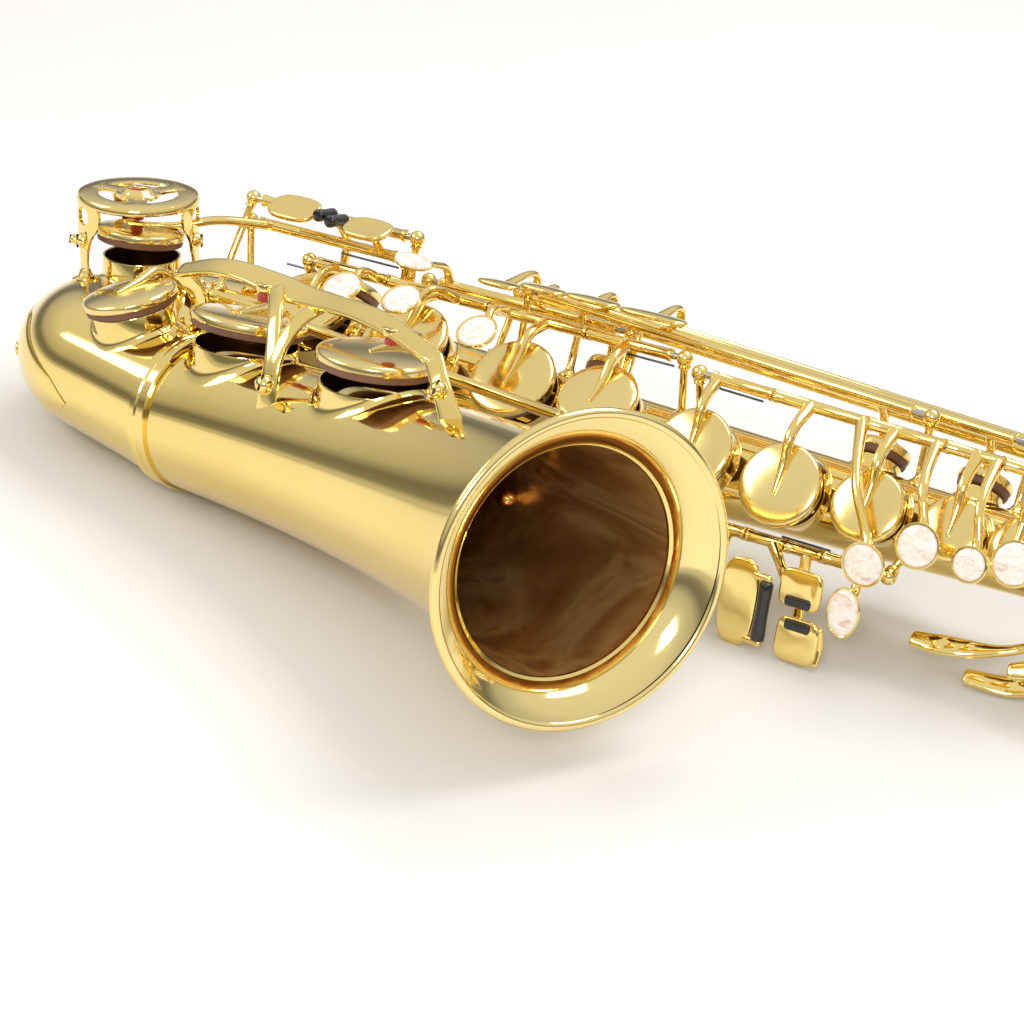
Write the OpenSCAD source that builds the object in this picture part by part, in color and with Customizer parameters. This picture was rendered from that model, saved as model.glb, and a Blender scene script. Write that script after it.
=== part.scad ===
/* [Bell] */
// Radius of the bell's rolled rim
bell_rim_r = 61; // [58:0.5:64]
// Outer radius of the bell where it leaves the bow
bell_root_r = 33; // [31:0.5:35]
// Length of the bell along its curved axis
bell_len = 263; // [255:1:268]
// Lean of the bell where it leaves the bow, in degrees
bell_lean = 9.5; // [8:0.5:11]
// Extra lean that the bell gains by its rim, in degrees
bell_curl = 20; // [16:0.5:22]
// Sheet thickness of the bell, bow and body
wall = 1; // [0.8:0.1:1.2]
/* [Body] */
// Outer radius of the body tube at the bow
body_low_r = 26; // [25:0.5:27]
// Outer radius of the body tube at the neck socket
body_top_r = 12.6; // [12:0.1:13]
// Length of the body tube
body_len = 490; // [488:1:495]
/* [Bow] */
// Radius that the bow's middle line turns on
bow_turn_r = 39.77; // [39.5:0.01:40.1]
// Straight length of the bow below the body
bow_drop = 36; // [35:0.1:37]
// Straight length of the bow on the bell side
bow_leg = 66.4; // [65.5:0.1:67.5]
// Sideways offset of the bell from the body
bell_side = 16.5; // [14:0.5:18]
/* [Keys] */
// Radius of a hinge tube
tube_r = 2.7; // [2.5:0.1:3]
// Radius of the steel pivot rods
rod_r = 1.5; // [1.3:0.1:1.6]
// Clear gap round a pivot rod
rod_gap = 0.05; // [0.03:0.01:0.08]
// Thickness of a key cup
cup_h = 4.2; // [3.8:0.1:4.4]
// Thickness of the pad below its cup
pad_h = 3.4; // [3:0.1:3.6]
// Gap left between a closed pad and its tone hole
seat_gap = 0.35; // [0.3:0.05:0.5]
// Radius of a pearl's brass holder
pearl_r = 9.2; // [8.5:0.1:9.6]
// Radius of the rod that the key arms are bent from
arm_r = 1.7; // [1.5:0.1:2]
/* [Resting] */
// Roll of the horn about its length as it lies, in degrees
rest_roll = -12.01; // [-16:0.01:-8]
// Pitch of the horn as it lies, in degrees
rest_pitch = -2.35; // [-5:0.01:-1]
/* [Hidden] */
$fn = 48;
rest_shift = [-240.662, 16.341, 33.139];

// Rods: foot end and head end of each pivot line.
LOW_STACK = [[10, -45, 13], [10, -45, 211]];
TOP_STACK = [[16, -42, 222], [16, -36.6, 415]];
C_ROD = [[-2, -54, -32], [-2, -54, 58]];
EB_ROD = [[-2, -64.5, -32], [-2, -64.5, 62]];
BELL_ROD = [[62, -32, -34], [84, -25, 204]];
TRILL_ROD = [[-12.9, -45, 64], [-12.9, -45, 172]];
SIDE_BB_ROD = [[-2, -54.5, 124], [-2, -44.75, 319]];
SIDE_C_ROD = [[-9, -53.2, 149], [-9, -42.6, 361]];
SIDE_E_ROD = [[-16, -51.2, 175], [-16, -38, 438.7]];
HIGH_ROD = [[-23, -48, 107], [-23, -30.1, 465]];
TABLE_ROD = [[30, 15, 240], [30, 15, 326]];
OCTAVE_ROD = [[-21, 13, 312], [-21, 13, 368]];

// Tone holes on the body: angle round the tube, height, hole radius, seat distance from the axis.
D_HOLE = [-44, 29, 17.6, 32];
E_HOLE = [-40, 84, 16.8, 30.6];
F_HOLE = [-34, 142, 16.2, 28.6];
FSHARP_HOLE = [-39, 183, 14.6, 26.8];
GSHARP_HOLE = [-25, 231, 14.2, 26.4];
G_HOLE = [-15, 274, 14.4, 23.8];
A_HOLE = [-18, 312, 12.2, 22.4];
BIS_HOLE = [-20, 348, 10.4, 20.8];
B_HOLE = [-21, 374.5, 8.4, 19.8];
C_HOLE = [-22, 402, 7.8, 18.8];
EB_HOLE = [-118, 18, 13.5, 30];
TRILL_HOLE = [-132, 160, 8.5, 26.5];
SIDE_BB_HOLE = [-122, 296, 9, 22];
SIDE_C_HOLE = [-124, 342, 8.5, 20.8];
SIDE_E_HOLE = [-124, 424, 7.5, 18.6];
HIGH_HOLE = [-134, 452, 6.5, 18];
PALM_D_HOLE = [70, 420, 7.5, 18.8];
PALM_EB_HOLE = [126, 450, 7.2, 18.2];
PALM_F_HOLE = [34, 467, 7, 17.4];
HOLES = [
    D_HOLE, E_HOLE, F_HOLE, FSHARP_HOLE, GSHARP_HOLE, G_HOLE, A_HOLE, BIS_HOLE, B_HOLE, C_HOLE,
    EB_HOLE, TRILL_HOLE, SIDE_BB_HOLE, SIDE_C_HOLE, SIDE_E_HOLE, HIGH_HOLE,
    PALM_D_HOLE, PALM_EB_HOLE, PALM_F_HOLE
];

// Feet of the low C guard, flat on the bow.
LOW_C_FEET = [[66, -16.2, -84], [10, -18.8, -80], [63, -13.8, -45]];

// Bell and bow tone holes: centre of the seat, outward direction, hole radius.
LOW_C_SEAT = [[37, -33.5, -63], [0, -1, 0], 17];
LOW_CSHARP_SEAT = [[93.2, -22.6, -18.6], [0.27, -0.94, -0.2], 17.5];
LOW_B_SEAT = [[98, -22.6, 49], [0.09, -0.996, 0], 21.5];
LOW_BB_SEAT = [[121.5, -28.6, 132], [0.14, -0.99, 0], 21.5];

// Middle line of the horn.
function body_r(z) = body_low_r + (body_top_r - body_low_r) * z / body_len;
function on_body(a, z, r) = [r * cos(a), r * sin(a), z];
function along(line, z) = line[0] + (line[1] - line[0]) * (z - line[0][2]) / (line[1][2] - line[0][2]);
function unit(v) = v / norm(v);
function mix(a, b, u) = a + (b - a) * u;

// Bow: straight down, round an arc to the bell's lean, then a straight leg.
bow_arc = 180 - bell_lean;
bow_arc_len = bow_turn_r * bow_arc * PI / 180;
bow_len = bow_drop + bow_arc_len + bow_leg;
function bow_angle(s) = min(max((s - bow_drop) / bow_turn_r * 180 / PI, 0), bow_arc);
function bow_dir(s) = [sin(bow_angle(s)), 0, -cos(bow_angle(s))];
function bow_point(s) = [bow_turn_r * (1 - cos(bow_angle(s))), bell_side * s / bow_len,
    -min(s, bow_drop) - bow_turn_r * sin(bow_angle(s))] + max(s - bow_drop - bow_arc_len, 0) * bow_dir(s);
function bow_r(s) = mix(body_low_r, bell_root_r, s / bow_len);

// Bell: the lean grows evenly along the axis, so the axis is an arc of a circle.
bell_turn_r = bell_len / (bell_curl * PI / 180);
bell_foot = bow_point(bow_len);
function bell_angle(s) = bell_lean + bell_curl * s / bell_len;
function bell_point(s) = bell_foot + [
    bell_turn_r * (cos(bell_lean) - cos(bell_angle(s))),
    -13.2 * s / bell_len,
    bell_turn_r * (sin(bell_angle(s)) - sin(bell_lean))
];
function bell_dir(s) = [sin(bell_angle(s)), 0, cos(bell_angle(s))];
function bell_r(s) = bell_root_r + (bell_rim_r - bell_root_r)
    * (0.26 * s / bell_len + 0.2 * pow(s / bell_len, 3) + 0.54 * pow(s / bell_len, 44));

// Neck: up from the socket, round towards the player and a little down.
neck_turn_r = 52;
neck_turn = 98;
neck_rise = 10;
neck_reach = 74;
neck_foot = [0, 0, body_len + 26];
neck_arc_len = neck_turn_r * neck_turn * PI / 180;
neck_len = neck_rise + neck_arc_len + neck_reach;
function neck_angle(s) = min(max((s - neck_rise) / neck_turn_r * 180 / PI, 0), neck_turn);
function neck_dir(s) = [-sin(neck_angle(s)), 0, cos(neck_angle(s))];
function neck_point(s) = neck_foot + [0, 0, min(s, neck_rise)]
    + neck_turn_r * [cos(neck_angle(s)) - 1, 0, sin(neck_angle(s))]
    + max(s - neck_rise - neck_arc_len, 0) * [-sin(neck_turn), 0, cos(neck_turn)];
function neck_r(s) = mix(12.1, 7, s / neck_len);

// One ring of points square to a direction that lies in the X-Z plane.
function ring(c, d, r, sides) = [
    for (i = [0:sides - 1])
        c + r * cos(360 * i / sides) * [d[2], 0, -d[0]] + r * sin(360 * i / sides) * [0, 1, 0]
];

// Hollow shell between an outer and an inner row of rings, closed at both ends.
module shell(outer, inner, sides) {
    rows = len(outer);
    pts = [for (row = outer) each row, for (row = inner) each row];
    off = rows * sides;
    function at(k, i) = k * sides + i % sides;
    faces = [
        for (k = [0:rows - 2], i = [0:sides - 1]) each [
            [at(k, i), at(k + 1, i + 1), at(k, i + 1)],
            [at(k, i), at(k + 1, i), at(k + 1, i + 1)],
            [off + at(k, i), off + at(k, i + 1), off + at(k + 1, i + 1)],
            [off + at(k, i), off + at(k + 1, i + 1), off + at(k + 1, i)]
        ],
        for (i = [0:sides - 1]) each [
            [at(0, i), off + at(0, i + 1), off + at(0, i)],
            [at(0, i), at(0, i + 1), off + at(0, i + 1)],
            [at(rows - 1, i), off + at(rows - 1, i), off + at(rows - 1, i + 1)],
            [at(rows - 1, i), off + at(rows - 1, i + 1), at(rows - 1, i + 1)]
        ]
    ];
    polyhedron(points = pts, faces = faces, convexity = 6);
}

// Lays the upright horn down on its left side, bell forward.
module lay() {
    translate(rest_shift) rotate([rest_roll, rest_pitch, 0]) rotate([-90, 0, -90]) children();
}

// Moves children so that +Z points along d from p.
module aim(p, d) {
    translate(p) rotate([0, acos(d[2] / norm(d)), atan2(d[1], d[0])]) children();
}

module bar(a, b, r) {
    aim(a, b - a) cylinder(r = r, h = norm(b - a));
}

// A bent wire through a row of points, with a small ball at each bend.
module wire(path, r) {
    for (i = [0:len(path) - 2]) bar(path[i], path[i + 1], r);
    for (p = path) translate(p) sphere(r = r + 0.35);
}

// A pivot line's bore, used to cut hinge tubes.
module bore(line) {
    bar(line[0] - 5 * unit(line[1] - line[0]), line[1] + 5 * unit(line[1] - line[0]), rod_r + rod_gap);
}

module hinge_tube(line, z0, z1) {
    bar(along(line, z0), along(line, z1), tube_r);
}

// A cup with its pad below: p is the middle of the seat, d points out of the hole.
module cup(p, d, r) {
    aim(p + seat_gap * unit(d), d) {
        cylinder(r = r - 0.8, h = pad_h);
        translate([0, 0, pad_h]) cylinder(r = r, h = cup_h);
    }
}

function seat(hole) = on_body(hole[0], hole[1], hole[3]);
function out_of(hole) = [cos(hole[0]), sin(hole[0]), 0];
function cup_top(p, d) = p + (seat_gap + pad_h + cup_h) * unit(d);

module body_cup(hole) {
    cup(seat(hole), out_of(hole), hole[2] + 3.2);
}

// Arm from a pivot line over the top of a cup, at the height of the cup.
module cup_arm(line, hole, lift = 0) {
    top = cup_top(seat(hole), out_of(hole)) + 0.6 * out_of(hole);
    a = along(line, hole[1]);
    wire(lift > 0 ? [a, mix(a, top, 0.5) + lift * out_of(hole), top] : [a, top], arm_r);
}

// Turns a key about its pivot line by an angle.
module swing(line, a) {
    translate(line[0]) rotate(a = a, v = line[1] - line[0]) translate(-line[0]) children();
}

// A pearl in its brass holder, with its face towards d.
module pearl(p, d, r) {
    aim(p, d) {
        translate([0, 0, -2.6]) cylinder(r = r, h = 2.6);
        cylinder(r = r - 1, h = 1.6);
    }
}

// A stack key: tube, cup, arm and, where it has one, a pearl on a bent arm.
module stack_key(line, hole, z0, z1, open, touch = [], from_z = 0, r = pearl_r, lift = 0) {
    swing(line, -open) difference() {
        union() {
            hinge_tube(line, z0, z1);
            body_cup(hole);
            cup_arm(line, hole, lift);
            if (len(touch) > 0) {
                face = unit([touch[0], touch[1], 0]);
                knee = mix(along(line, from_z), touch, 0.45) + 4.5 * face;
                wire([along(line, from_z), knee, touch - 2.6 * face], arm_r);
                pearl(touch, face, r);
            }
        }
        bore(line);
    }
}

module body_tube() color("gold") lay() difference() {
    union() {
        cylinder(r1 = body_low_r, r2 = body_top_r, h = body_len);
        for (h = HOLES) aim(on_body(h[0], h[1], 8), out_of(h)) cylinder(r = h[2] + 1, h = h[3] - 8);
    }
    translate([0, 0, -1]) cylinder(r1 = body_low_r - wall, r2 = body_top_r - wall, h = body_len + 2);
    for (h = HOLES) aim(on_body(h[0], h[1], 8), out_of(h)) cylinder(r = h[2], h = h[3]);
}

module bow() color("gold") lay() {
    s = [for (i = [0:22]) bow_len * i / 22];
    shell([for (t = s) ring(bow_point(t), bow_dir(t), bow_r(t), 32)],
        [for (t = s) ring(bow_point(t), bow_dir(t), bow_r(t) - wall, 32)], 32);
}

module bell() color("gold") lay() {
    s = [for (i = [0:22]) bell_len * (1 - pow(1 - i / 22, 1.9))];
    shell([for (t = s) ring(bell_point(t), bell_dir(t), bell_r(t), 40)],
        [for (t = s) ring(bell_point(t), bell_dir(t), bell_r(t) - wall, 40)], 40);
}

// A short chimney round a tone hole, sunk into the wall that it stands on.
module chimney(s, deep) {
    aim(s[0] - deep * unit(s[1]), s[1]) difference() {
        cylinder(r = s[2] + 1.2, h = deep);
        translate([0, 0, -1]) cylinder(r = s[2], h = deep + 2);
    }
}

module bell_tone_holes() color("gold") lay() {
    chimney(LOW_B_SEAT, 14);
    chimney(LOW_BB_SEAT, 13);
}

module bow_tone_holes() color("gold") lay() {
    chimney(LOW_C_SEAT, 15);
    chimney(LOW_CSHARP_SEAT, 12);
}

// Ferrule round a tube of radius r: two raised bands with a groove between them.
module ferrule(r, h) {
    rotate_extrude() polygon([
        [r, 0], [r + 1.6, 0], [r + 1.6, h * 0.42], [r + 1, h * 0.46],
        [r + 1, h * 0.54], [r + 1.6, h * 0.58], [r + 1.6, h], [r, h]
    ]);
}

module body_ring() color("gold") lay() translate([0, 0, 0.2]) ferrule(body_low_r + 0.1, 9);

module bell_ring() color("gold") lay() aim(bow_point(bow_len - 8), bow_dir(bow_len)) {
    ferrule(bell_root_r + 0.15, 9);
    translate([bell_root_r + 3.2, 0, 4.5]) rotate([90, 0, 0]) cylinder(r = 2.1, h = 9, center = true);
}

// A point over the bow: distance along it, angle round it and height above its wall.
function off_bow(t, a, lift) = bow_point(t)
    + (bow_r(t) + lift) * [cos(a) * bow_dir(t)[2], sin(a), -cos(a) * bow_dir(t)[0]];

// Sheet laid over the outside of the bow, where the horn is set down.
module bow_guard() color("gold") lay() {
    s = [for (i = [0:8]) bow_len * (0.24 + 0.36 * i / 8)];
    spread = 46;
    rows = [for (t = s) concat([for (i = [0:12]) off_bow(t, spread * (i / 6 - 1), 1.7)],
        [for (i = [12:-1:0]) off_bow(t, spread * (i / 6 - 1), 0.5)])];
    n = 26;
    polyhedron(points = [for (row = rows) each row], faces = concat(
        [for (k = [0:7], i = [0:n - 1]) [k * n + (i + 1) % n, k * n + i, (k + 1) * n + i]],
        [for (k = [0:7], i = [0:n - 1]) [k * n + (i + 1) % n, (k + 1) * n + i, (k + 1) * n + (i + 1) % n]],
        [for (i = [0:11]) each [[i, i + 1, 24 - i], [i, 24 - i, 25 - i]]],
        [for (i = [0:11]) each [[8 * n + i + 1, 8 * n + i, 8 * n + 24 - i], [8 * n + 24 - i, 8 * n + i, 8 * n + 25 - i]]]
    ), convexity = 6);
}

module bell_brace() color("gold") lay() {
    z = 190;
    axis = bell_point(182);
    a = [body_r(z) + 0.2, 6, z];
    b = [axis[0] - bell_r(182) - 1.5, 8, z];
    m = (a + b) / 2;
    aim([m[0], m[1] + 3, m[2]], [0, 1, 0]) difference() {
        cylinder(r = 17, h = 4, center = true);
        cylinder(r = 13.5, h = 6, center = true);
    }
    bar(a, m - [15, 0, 0], 2.6);
    bar(m + [15, 0, 0], b + [3.5, 0, 0], 2.6);
}

// Feet and legs of a guard: foot disc flat on the horn, leg up to the cage.
module guard_leg(foot, out, top, w) {
    aim(foot - 1.5 * unit(out), out) cylinder(r = 6.5, h = 2.6);
    bar(foot, top, w);
}

module low_c_guard() color("gold") lay() {
    y = -60.5;
    aim([37, y, -68], [0, -1, 0]) difference() {
        cylinder(r = 28, h = 2.4, center = true);
        for (a = [40, 160, 280]) rotate(a) translate([15, 0, 0]) cylinder(r = 8, h = 6, center = true);
        cylinder(r = 3.1, h = 6, center = true);
    }
    guard_leg(LOW_C_FEET[0], [0.4, -0.8, -0.45], [58, y, -80], 2);
    guard_leg(LOW_C_FEET[1], [-0.45, -0.8, -0.4], [15, y, -78], 2);
    guard_leg(LOW_C_FEET[2], [-0.4, -0.8, 0.3], [57, y, -51], 2);
}

module low_b_guard() color("gold") lay() {
    y0 = -50;
    path = [[90, y0 + 6, 4], [94, y0, 24], [106, y0 - 1, 80], [122, y0 - 3, 130], [137, y0 + 2, 168]];
    wire(path, 3);
    wire([[106, y0 - 1, 80], [126, -34, 86], [131.5, -12, 88], [131.8, 1, 88.5]], 2.6);
    wire([[137, y0 + 2, 168], [147, -38, 181], [150, -28, 189]], 2.6);
    wire([[90, y0 + 6, 4], [84, -34, 9], [80, -16, 9]], 2.6);
    aim([131.8, 1, 88.5], [0.95, -0.3, -0.2]) translate([0, 0, -2.6]) cylinder(r = 9, h = 2.6);
    aim([150, -28, 189], [0.4, -0.9, -0.3]) translate([0, 0, -2.4]) cylinder(r = 7, h = 2.6);
}

// Slotted round-headed screws that hold the guards to their feet.
module guard_screws() color("goldenrod") lay() {
    for (s = [[[134.6, -18, 87], [0.9, -0.4, 0.1]], [[149.5, -41, 180], [0.8, -0.5, 0.1]],
            [[62, -38.15, -82], [0.7, 0, -0.7]]])
        aim(s[0], s[1]) difference() {
            sphere(r = 3.2);
            translate([0, 0, 3]) cube([0.8, 8, 2.4], center = true);
        }
}

// Felt stops that the low keys rest against.
module guard_felts() color("firebrick") lay() {
    aim([37, -60.5, -68], [0, 1, 0]) cylinder(r = 3, h = 11.5);
    aim([104, -47, 60], [0, 1, 0]) cylinder(r = 3, h = 3.4);
    aim([126.5, -48.4, 141], [0, 1, 0]) cylinder(r = 3, h = 2.6);
}

// A ball-headed pillar with a round foot.
module pillar(foot, head) {
    aim(foot, head - foot) {
        translate([0, 0, -1]) cylinder(r = 4.2, h = 2.4);
        cylinder(r = 1.9, h = norm(head - foot));
        translate([0, 0, norm(head - foot)]) sphere(r = 3.6);
    }
}

function foot_of(p, sink = 0.4) = let (a = atan2(p[1], p[0])) on_body(a, p[2], body_r(p[2]) - sink);

module body_pillars() color("gold") lay() {
    for (line = [LOW_STACK, TOP_STACK, TRILL_ROD, SIDE_BB_ROD, SIDE_C_ROD, SIDE_E_ROD, HIGH_ROD,
            TABLE_ROD, OCTAVE_ROD])
        for (p = line) pillar(foot_of(p), p);
    for (line = [C_ROD, EB_ROD]) pillar(foot_of(line[1]), line[1]);
    pillar([8, -23.6, -20], C_ROD[0]);
    pillar([12, -22, -35], EB_ROD[0]);
    for (h = [PALM_D_HOLE, PALM_EB_HOLE, PALM_F_HOLE])
        for (side = [-7, 7]) pillar(palm_pivot(h, side, body_r(h[1] - 30) - 0.4), palm_pivot(h, side, 28));
}

// Point on a palm key's pivot line: side is measured along the line from its middle.
function palm_pivot(h, side, r) = on_body(h[0], h[1] - 30, r) + side * [-sin(h[0]), cos(h[0]), 0];

module bell_pillars() color("gold") lay() {
    pillar([69.5, -16.9, -31.5], BELL_ROD[0]);
    pillar([108.5, -20, 200], BELL_ROD[1]);
}

module pivot_rods() color("silver") lay() {
    for (line = [LOW_STACK, TOP_STACK, TRILL_ROD, SIDE_BB_ROD, SIDE_C_ROD, SIDE_E_ROD, HIGH_ROD,
            TABLE_ROD, OCTAVE_ROD, C_ROD, EB_ROD, BELL_ROD]) bar(line[0], line[1], rod_r);
    for (h = [PALM_D_HOLE, PALM_EB_HOLE, PALM_F_HOLE]) bar(palm_pivot(h, -7, 28), palm_pivot(h, 7, 28), rod_r);
}

// Needle springs that run from a pillar along the tube that they turn back.
module needle_springs() color("lightsteelblue") lay() {
    for (s = [[LOW_STACK, 0, 26], [LOW_STACK, 178, 206], [TOP_STACK, 226, 252], [TOP_STACK, 384, 411],
            [C_ROD, 22, 54], [TABLE_ROD, 276, 298]])
        let (in = -4.6 * unit([along(s[0], s[1])[0], along(s[0], s[1])[1], 0]))
            bar(along(s[0], s[1]) + in, along(s[0], s[2]) + in, 0.5);
}

module strap_ring() color("gold") lay() {
    translate([-body_r(250) - 9.2, 0, 250]) rotate([90, 0, 0]) difference() {
        cylinder(r = 9, h = 3.4, center = true);
        cylinder(r = 6.2, h = 8, center = true);
    }
    translate([-body_r(250) - 0.6, 0, 250]) cube([2.4, 7, 16], center = true);
}

module thumb_hook() color("gold") lay() {
    z = 110;
    translate([-body_r(z) - 0.8, 0, z]) cube([2, 14, 26], center = true);
    wire([[-body_r(z) - 3.6, 0, z + 6], [-body_r(z) - 18, 0, z + 9], [-body_r(z) - 27, 0, z + 2],
        [-body_r(z) - 28, 0, z - 12]], 3);
}

module thumb_rest() color("black") lay() {
    z = 300;
    translate([-body_r(z) + 0.5, 6, z]) rotate([0, -90, 0]) cylinder(r = 8.5, h = 5);
}

module neck_socket() color("gold") lay() translate([0, 0, body_len - 5]) difference() {
    union() {
        rotate_extrude() polygon([[10, 0], [15, 0], [15, 4], [14, 5], [14, 17], [15.4, 18], [15.4, 26], [10, 26]]);
        translate([-17.5, 0, 20]) cube([9, 9, 10], center = true);
    }
    translate([-19, 0, 20]) cube([14, 1.2, 14], center = true);
    translate([-19.5, 0, 20]) rotate([90, 0, 0]) cylinder(r = 1.9, h = 20, center = true);
    translate([0, 0, 5.05]) cylinder(r = 12.45, h = 30);
    translate([0, 0, -1]) cylinder(r = 12.8, h = 6.05);
}

module neck_screw() color("gold") lay() translate([-19.5, 0, body_len + 15]) rotate([90, 0, 0]) {
    translate([0, 0, -9]) cylinder(r = 1.8, h = 18);
    translate([0, 0, 7.4]) cylinder(r = 5.5, h = 3.4);
}

module neck() color("gold") lay() {
    s = [for (i = [0:16]) neck_len * i / 16];
    shell([for (t = s) ring(neck_point(t), neck_dir(t), neck_r(t), 24)],
        [for (t = s) ring(neck_point(t), neck_dir(t), neck_r(t) - wall, 24)], 24);
}

module neck_tenon() color("gold") lay() {
    translate([0, 0, body_len + 1]) difference() {
        cylinder(r = 12.4, h = 24.7);
        translate([0, 0, -1]) cylinder(r = 11.4, h = 28);
    }
    translate([0, 0, body_len + 23]) difference() {
        cylinder(r = 14.6, h = 6);
        translate([0, 0, -1]) cylinder(r = 11.85, h = 9);
    }
}

module neck_cork() color("peru") lay() {
    start = neck_len - 56;
    aim(neck_point(start), neck_dir(start)) difference() {
        cylinder(r1 = neck_r(start) + 1.5, r2 = 8, h = 54);
        translate([0, 0, -1]) cylinder(r1 = neck_r(start - 1) + 0.25, r2 = neck_r(neck_len - 1) + 0.25, h = 56);
    }
}

// The mouthpiece's own frame starts at its shank and runs to the tip.
module in_mouthpiece() {
    aim(neck_point(neck_len - 22), neck_dir(neck_len)) children();
}

module mouthpiece() color("black") lay() in_mouthpiece() difference() {
    union() {
        cylinder(r = 11.6, h = 8);
        translate([0, 0, 8]) cylinder(r1 = 10.6, r2 = 11.9, h = 44);
        translate([0, 0, 52]) cylinder(r1 = 11.9, r2 = 5.5, h = 36);
    }
    translate([0, 0, -1]) cylinder(r = 8.15, h = 24);
    translate([0, 0, 20]) cylinder(r = 6.5, h = 46);
    translate([5.2, -20, 44]) cube([20, 40, 60]);
    translate([3, -5.5, 46]) cube([12, 11, 36]);
    translate([-8.4, 0, 60]) rotate([0, 16, 0]) translate([-20, -20, 0]) cube([20, 40, 50]);
}

module ligature() color("gold") lay() in_mouthpiece() {
    translate([0, 0, 46]) difference() {
        cylinder(r = 14.6, h = 22);
        translate([0, 0, -1]) cylinder(r = 13.6, h = 24);
    }
    for (z = [51, 63]) translate([15.4, 0, z]) rotate([90, 0, 0]) {
        cylinder(r = 1.6, h = 18, center = true);
        translate([0, 0, 9]) cylinder(r = 4, h = 3);
    }
}

module reed() color("wheat") lay() in_mouthpiece() translate([5.4, 0, 46]) difference() {
    translate([0, -7.4, 0]) cube([2.9, 14.8, 41]);
    translate([1.2, -10, 18]) rotate([0, -4, 0]) translate([0.6, 0, 0]) cube([6, 20, 40]);
}

// Low keys on the bow and bell: cup over a seat, arm from the pivot line.
module low_cup_key(line, s, z0, z1, arm_z, turn) {
    swing(line, turn) difference() {
        union() {
            hinge_tube(line, z0, z1);
            cup(s[0], s[1], s[2] + 3.6);
            top = cup_top(s[0], s[1]) + 0.6 * unit(s[1]);
            wire([along(line, arm_z), mix(along(line, arm_z), top, 0.5) + [0, -3, 0], top], arm_r + 0.3);
            children();
        }
        bore(line);
    }
}

// Finger plate that faces the player's right: a bar from a to b along the horn with round ends.
module plate(a, b, r, h) {
    translate([a[0] - r, a[1] - h / 2, a[2]]) cube([2 * r, h, b[2] - a[2]]);
    for (p = [a, b]) translate(p) rotate([90, 0, 0]) cylinder(r = r + 0.2, h = h + 0.4, center = true);
}

module low_c_key() color("gold") lay()
    low_cup_key(C_ROD, LOW_C_SEAT, -26, 52, -20, -7.5) {
        wire([along(C_ROD, 44), [10, -62, 44]], arm_r);
        plate([14, -64, 38.5], [14, -64, 50], 6, 2.6);
    }

module eb_key() color("gold") lay() difference() {
    union() {
        hinge_tube(EB_ROD, -26, 56);
        body_cup(EB_HOLE);
        cup_arm(EB_ROD, EB_HOLE);
        wire([along(EB_ROD, 4), [10, -67, 4]], arm_r);
        plate([14, -67.5, -3], [14, -67.5, 11], 6, 2.6);
    }
    bore(EB_ROD);
}

module low_csharp_key() color("gold") lay() low_cup_key(BELL_ROD, LOW_CSHARP_SEAT, -28, 2, -18, 0);

module low_b_key() color("gold") lay() low_cup_key(BELL_ROD, LOW_B_SEAT, 3, 100, 49, -9);

module low_bb_key() color("gold") lay() low_cup_key(BELL_ROD, LOW_BB_SEAT, 101, 198, 132, -5.5);

module d_key() color("gold") lay() stack_key(LOW_STACK, D_HOLE, 18, 58, 11, [43, -38.5, 56], 52, lift = 2.5);
module e_key() color("gold") lay() stack_key(LOW_STACK, E_HOLE, 58.6, 112, 10.5, [42, -40, 87], 96);
module f_key() color("gold") lay() stack_key(LOW_STACK, F_HOLE, 112.6, 163, 9.6, [44, -35.5, 129], 122, lift = 3.3);
module fsharp_key() color("gold") lay() stack_key(LOW_STACK, FSHARP_HOLE, 163.6, 205, 10.5);
module gsharp_key() color("gold") lay() stack_key(TOP_STACK, GSHARP_HOLE, 228, 257, 0);
module g_key() color("gold") lay() stack_key(TOP_STACK, G_HOLE, 257.6, 300, 8, [50.3, 11, 325], 297);
module a_key() color("gold") lay() stack_key(TOP_STACK, A_HOLE, 300.6, 334, 8, [47, -1.5, 343.5], 330);
module bis_key() color("gold") lay() stack_key(TOP_STACK, BIS_HOLE, 334.6, 359, 8, [46, 0, 365], 356, 7.4);
module b_key() color("gold") lay() stack_key(TOP_STACK, B_HOLE, 359.6, 386, 8, [46, -5, 382], 382.5);
module c_key() color("gold") lay() stack_key(TOP_STACK, C_HOLE, 386.6, 409, 8);

// Side key: a long tube with a finger leaf at the foot and a cup at the head.
module side_key(line, hole, z0, z1, leaf_z, leaf_len, leaf_y) {
    difference() {
        union() {
            hinge_tube(line, z0, z1);
            body_cup(hole);
            cup_arm(line, hole);
            foot = along(line, leaf_z);
            wire([foot, [foot[0], leaf_y, leaf_z], [6, leaf_y, leaf_z]], arm_r - 0.2);
            plate([10, leaf_y, leaf_z - leaf_len], [10, leaf_y, leaf_z + leaf_len], 5, 2.2);
        }
        bore(line);
    }
}

module side_bb_key() color("gold") lay() side_key(SIDE_BB_ROD, SIDE_BB_HOLE, 130, 311, 138, 5.8, -58.5);
module side_c_key() color("gold") lay() side_key(SIDE_C_ROD, SIDE_C_HOLE, 155, 353, 163, 8, -59.2);
module side_e_key() color("gold") lay() side_key(SIDE_E_ROD, SIDE_E_HOLE, 181, 433, 193, 11, -59);

module high_fsharp_key() color("gold") lay()
    side_key(HIGH_ROD, HIGH_HOLE, 112.5, 459, 115.5, 5, -56);

module trill_key() color("gold") lay() difference() {
    union() {
        hinge_tube(TRILL_ROD, 70.5, 165);
        body_cup(TRILL_HOLE);
        cup_arm(TRILL_ROD, TRILL_HOLE);
        wire([along(TRILL_ROD, 76), [-10, -53, 76], [16, -57, 76]], arm_r);
        aim([20, -57, 76], [0.3, -0.9, 0.1]) {
            cylinder(r = 9, h = 2);
            translate([0, 0, 2]) cylinder(r = 8, h = 1.4);
        }
    }
    bore(TRILL_ROD);
}

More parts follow.
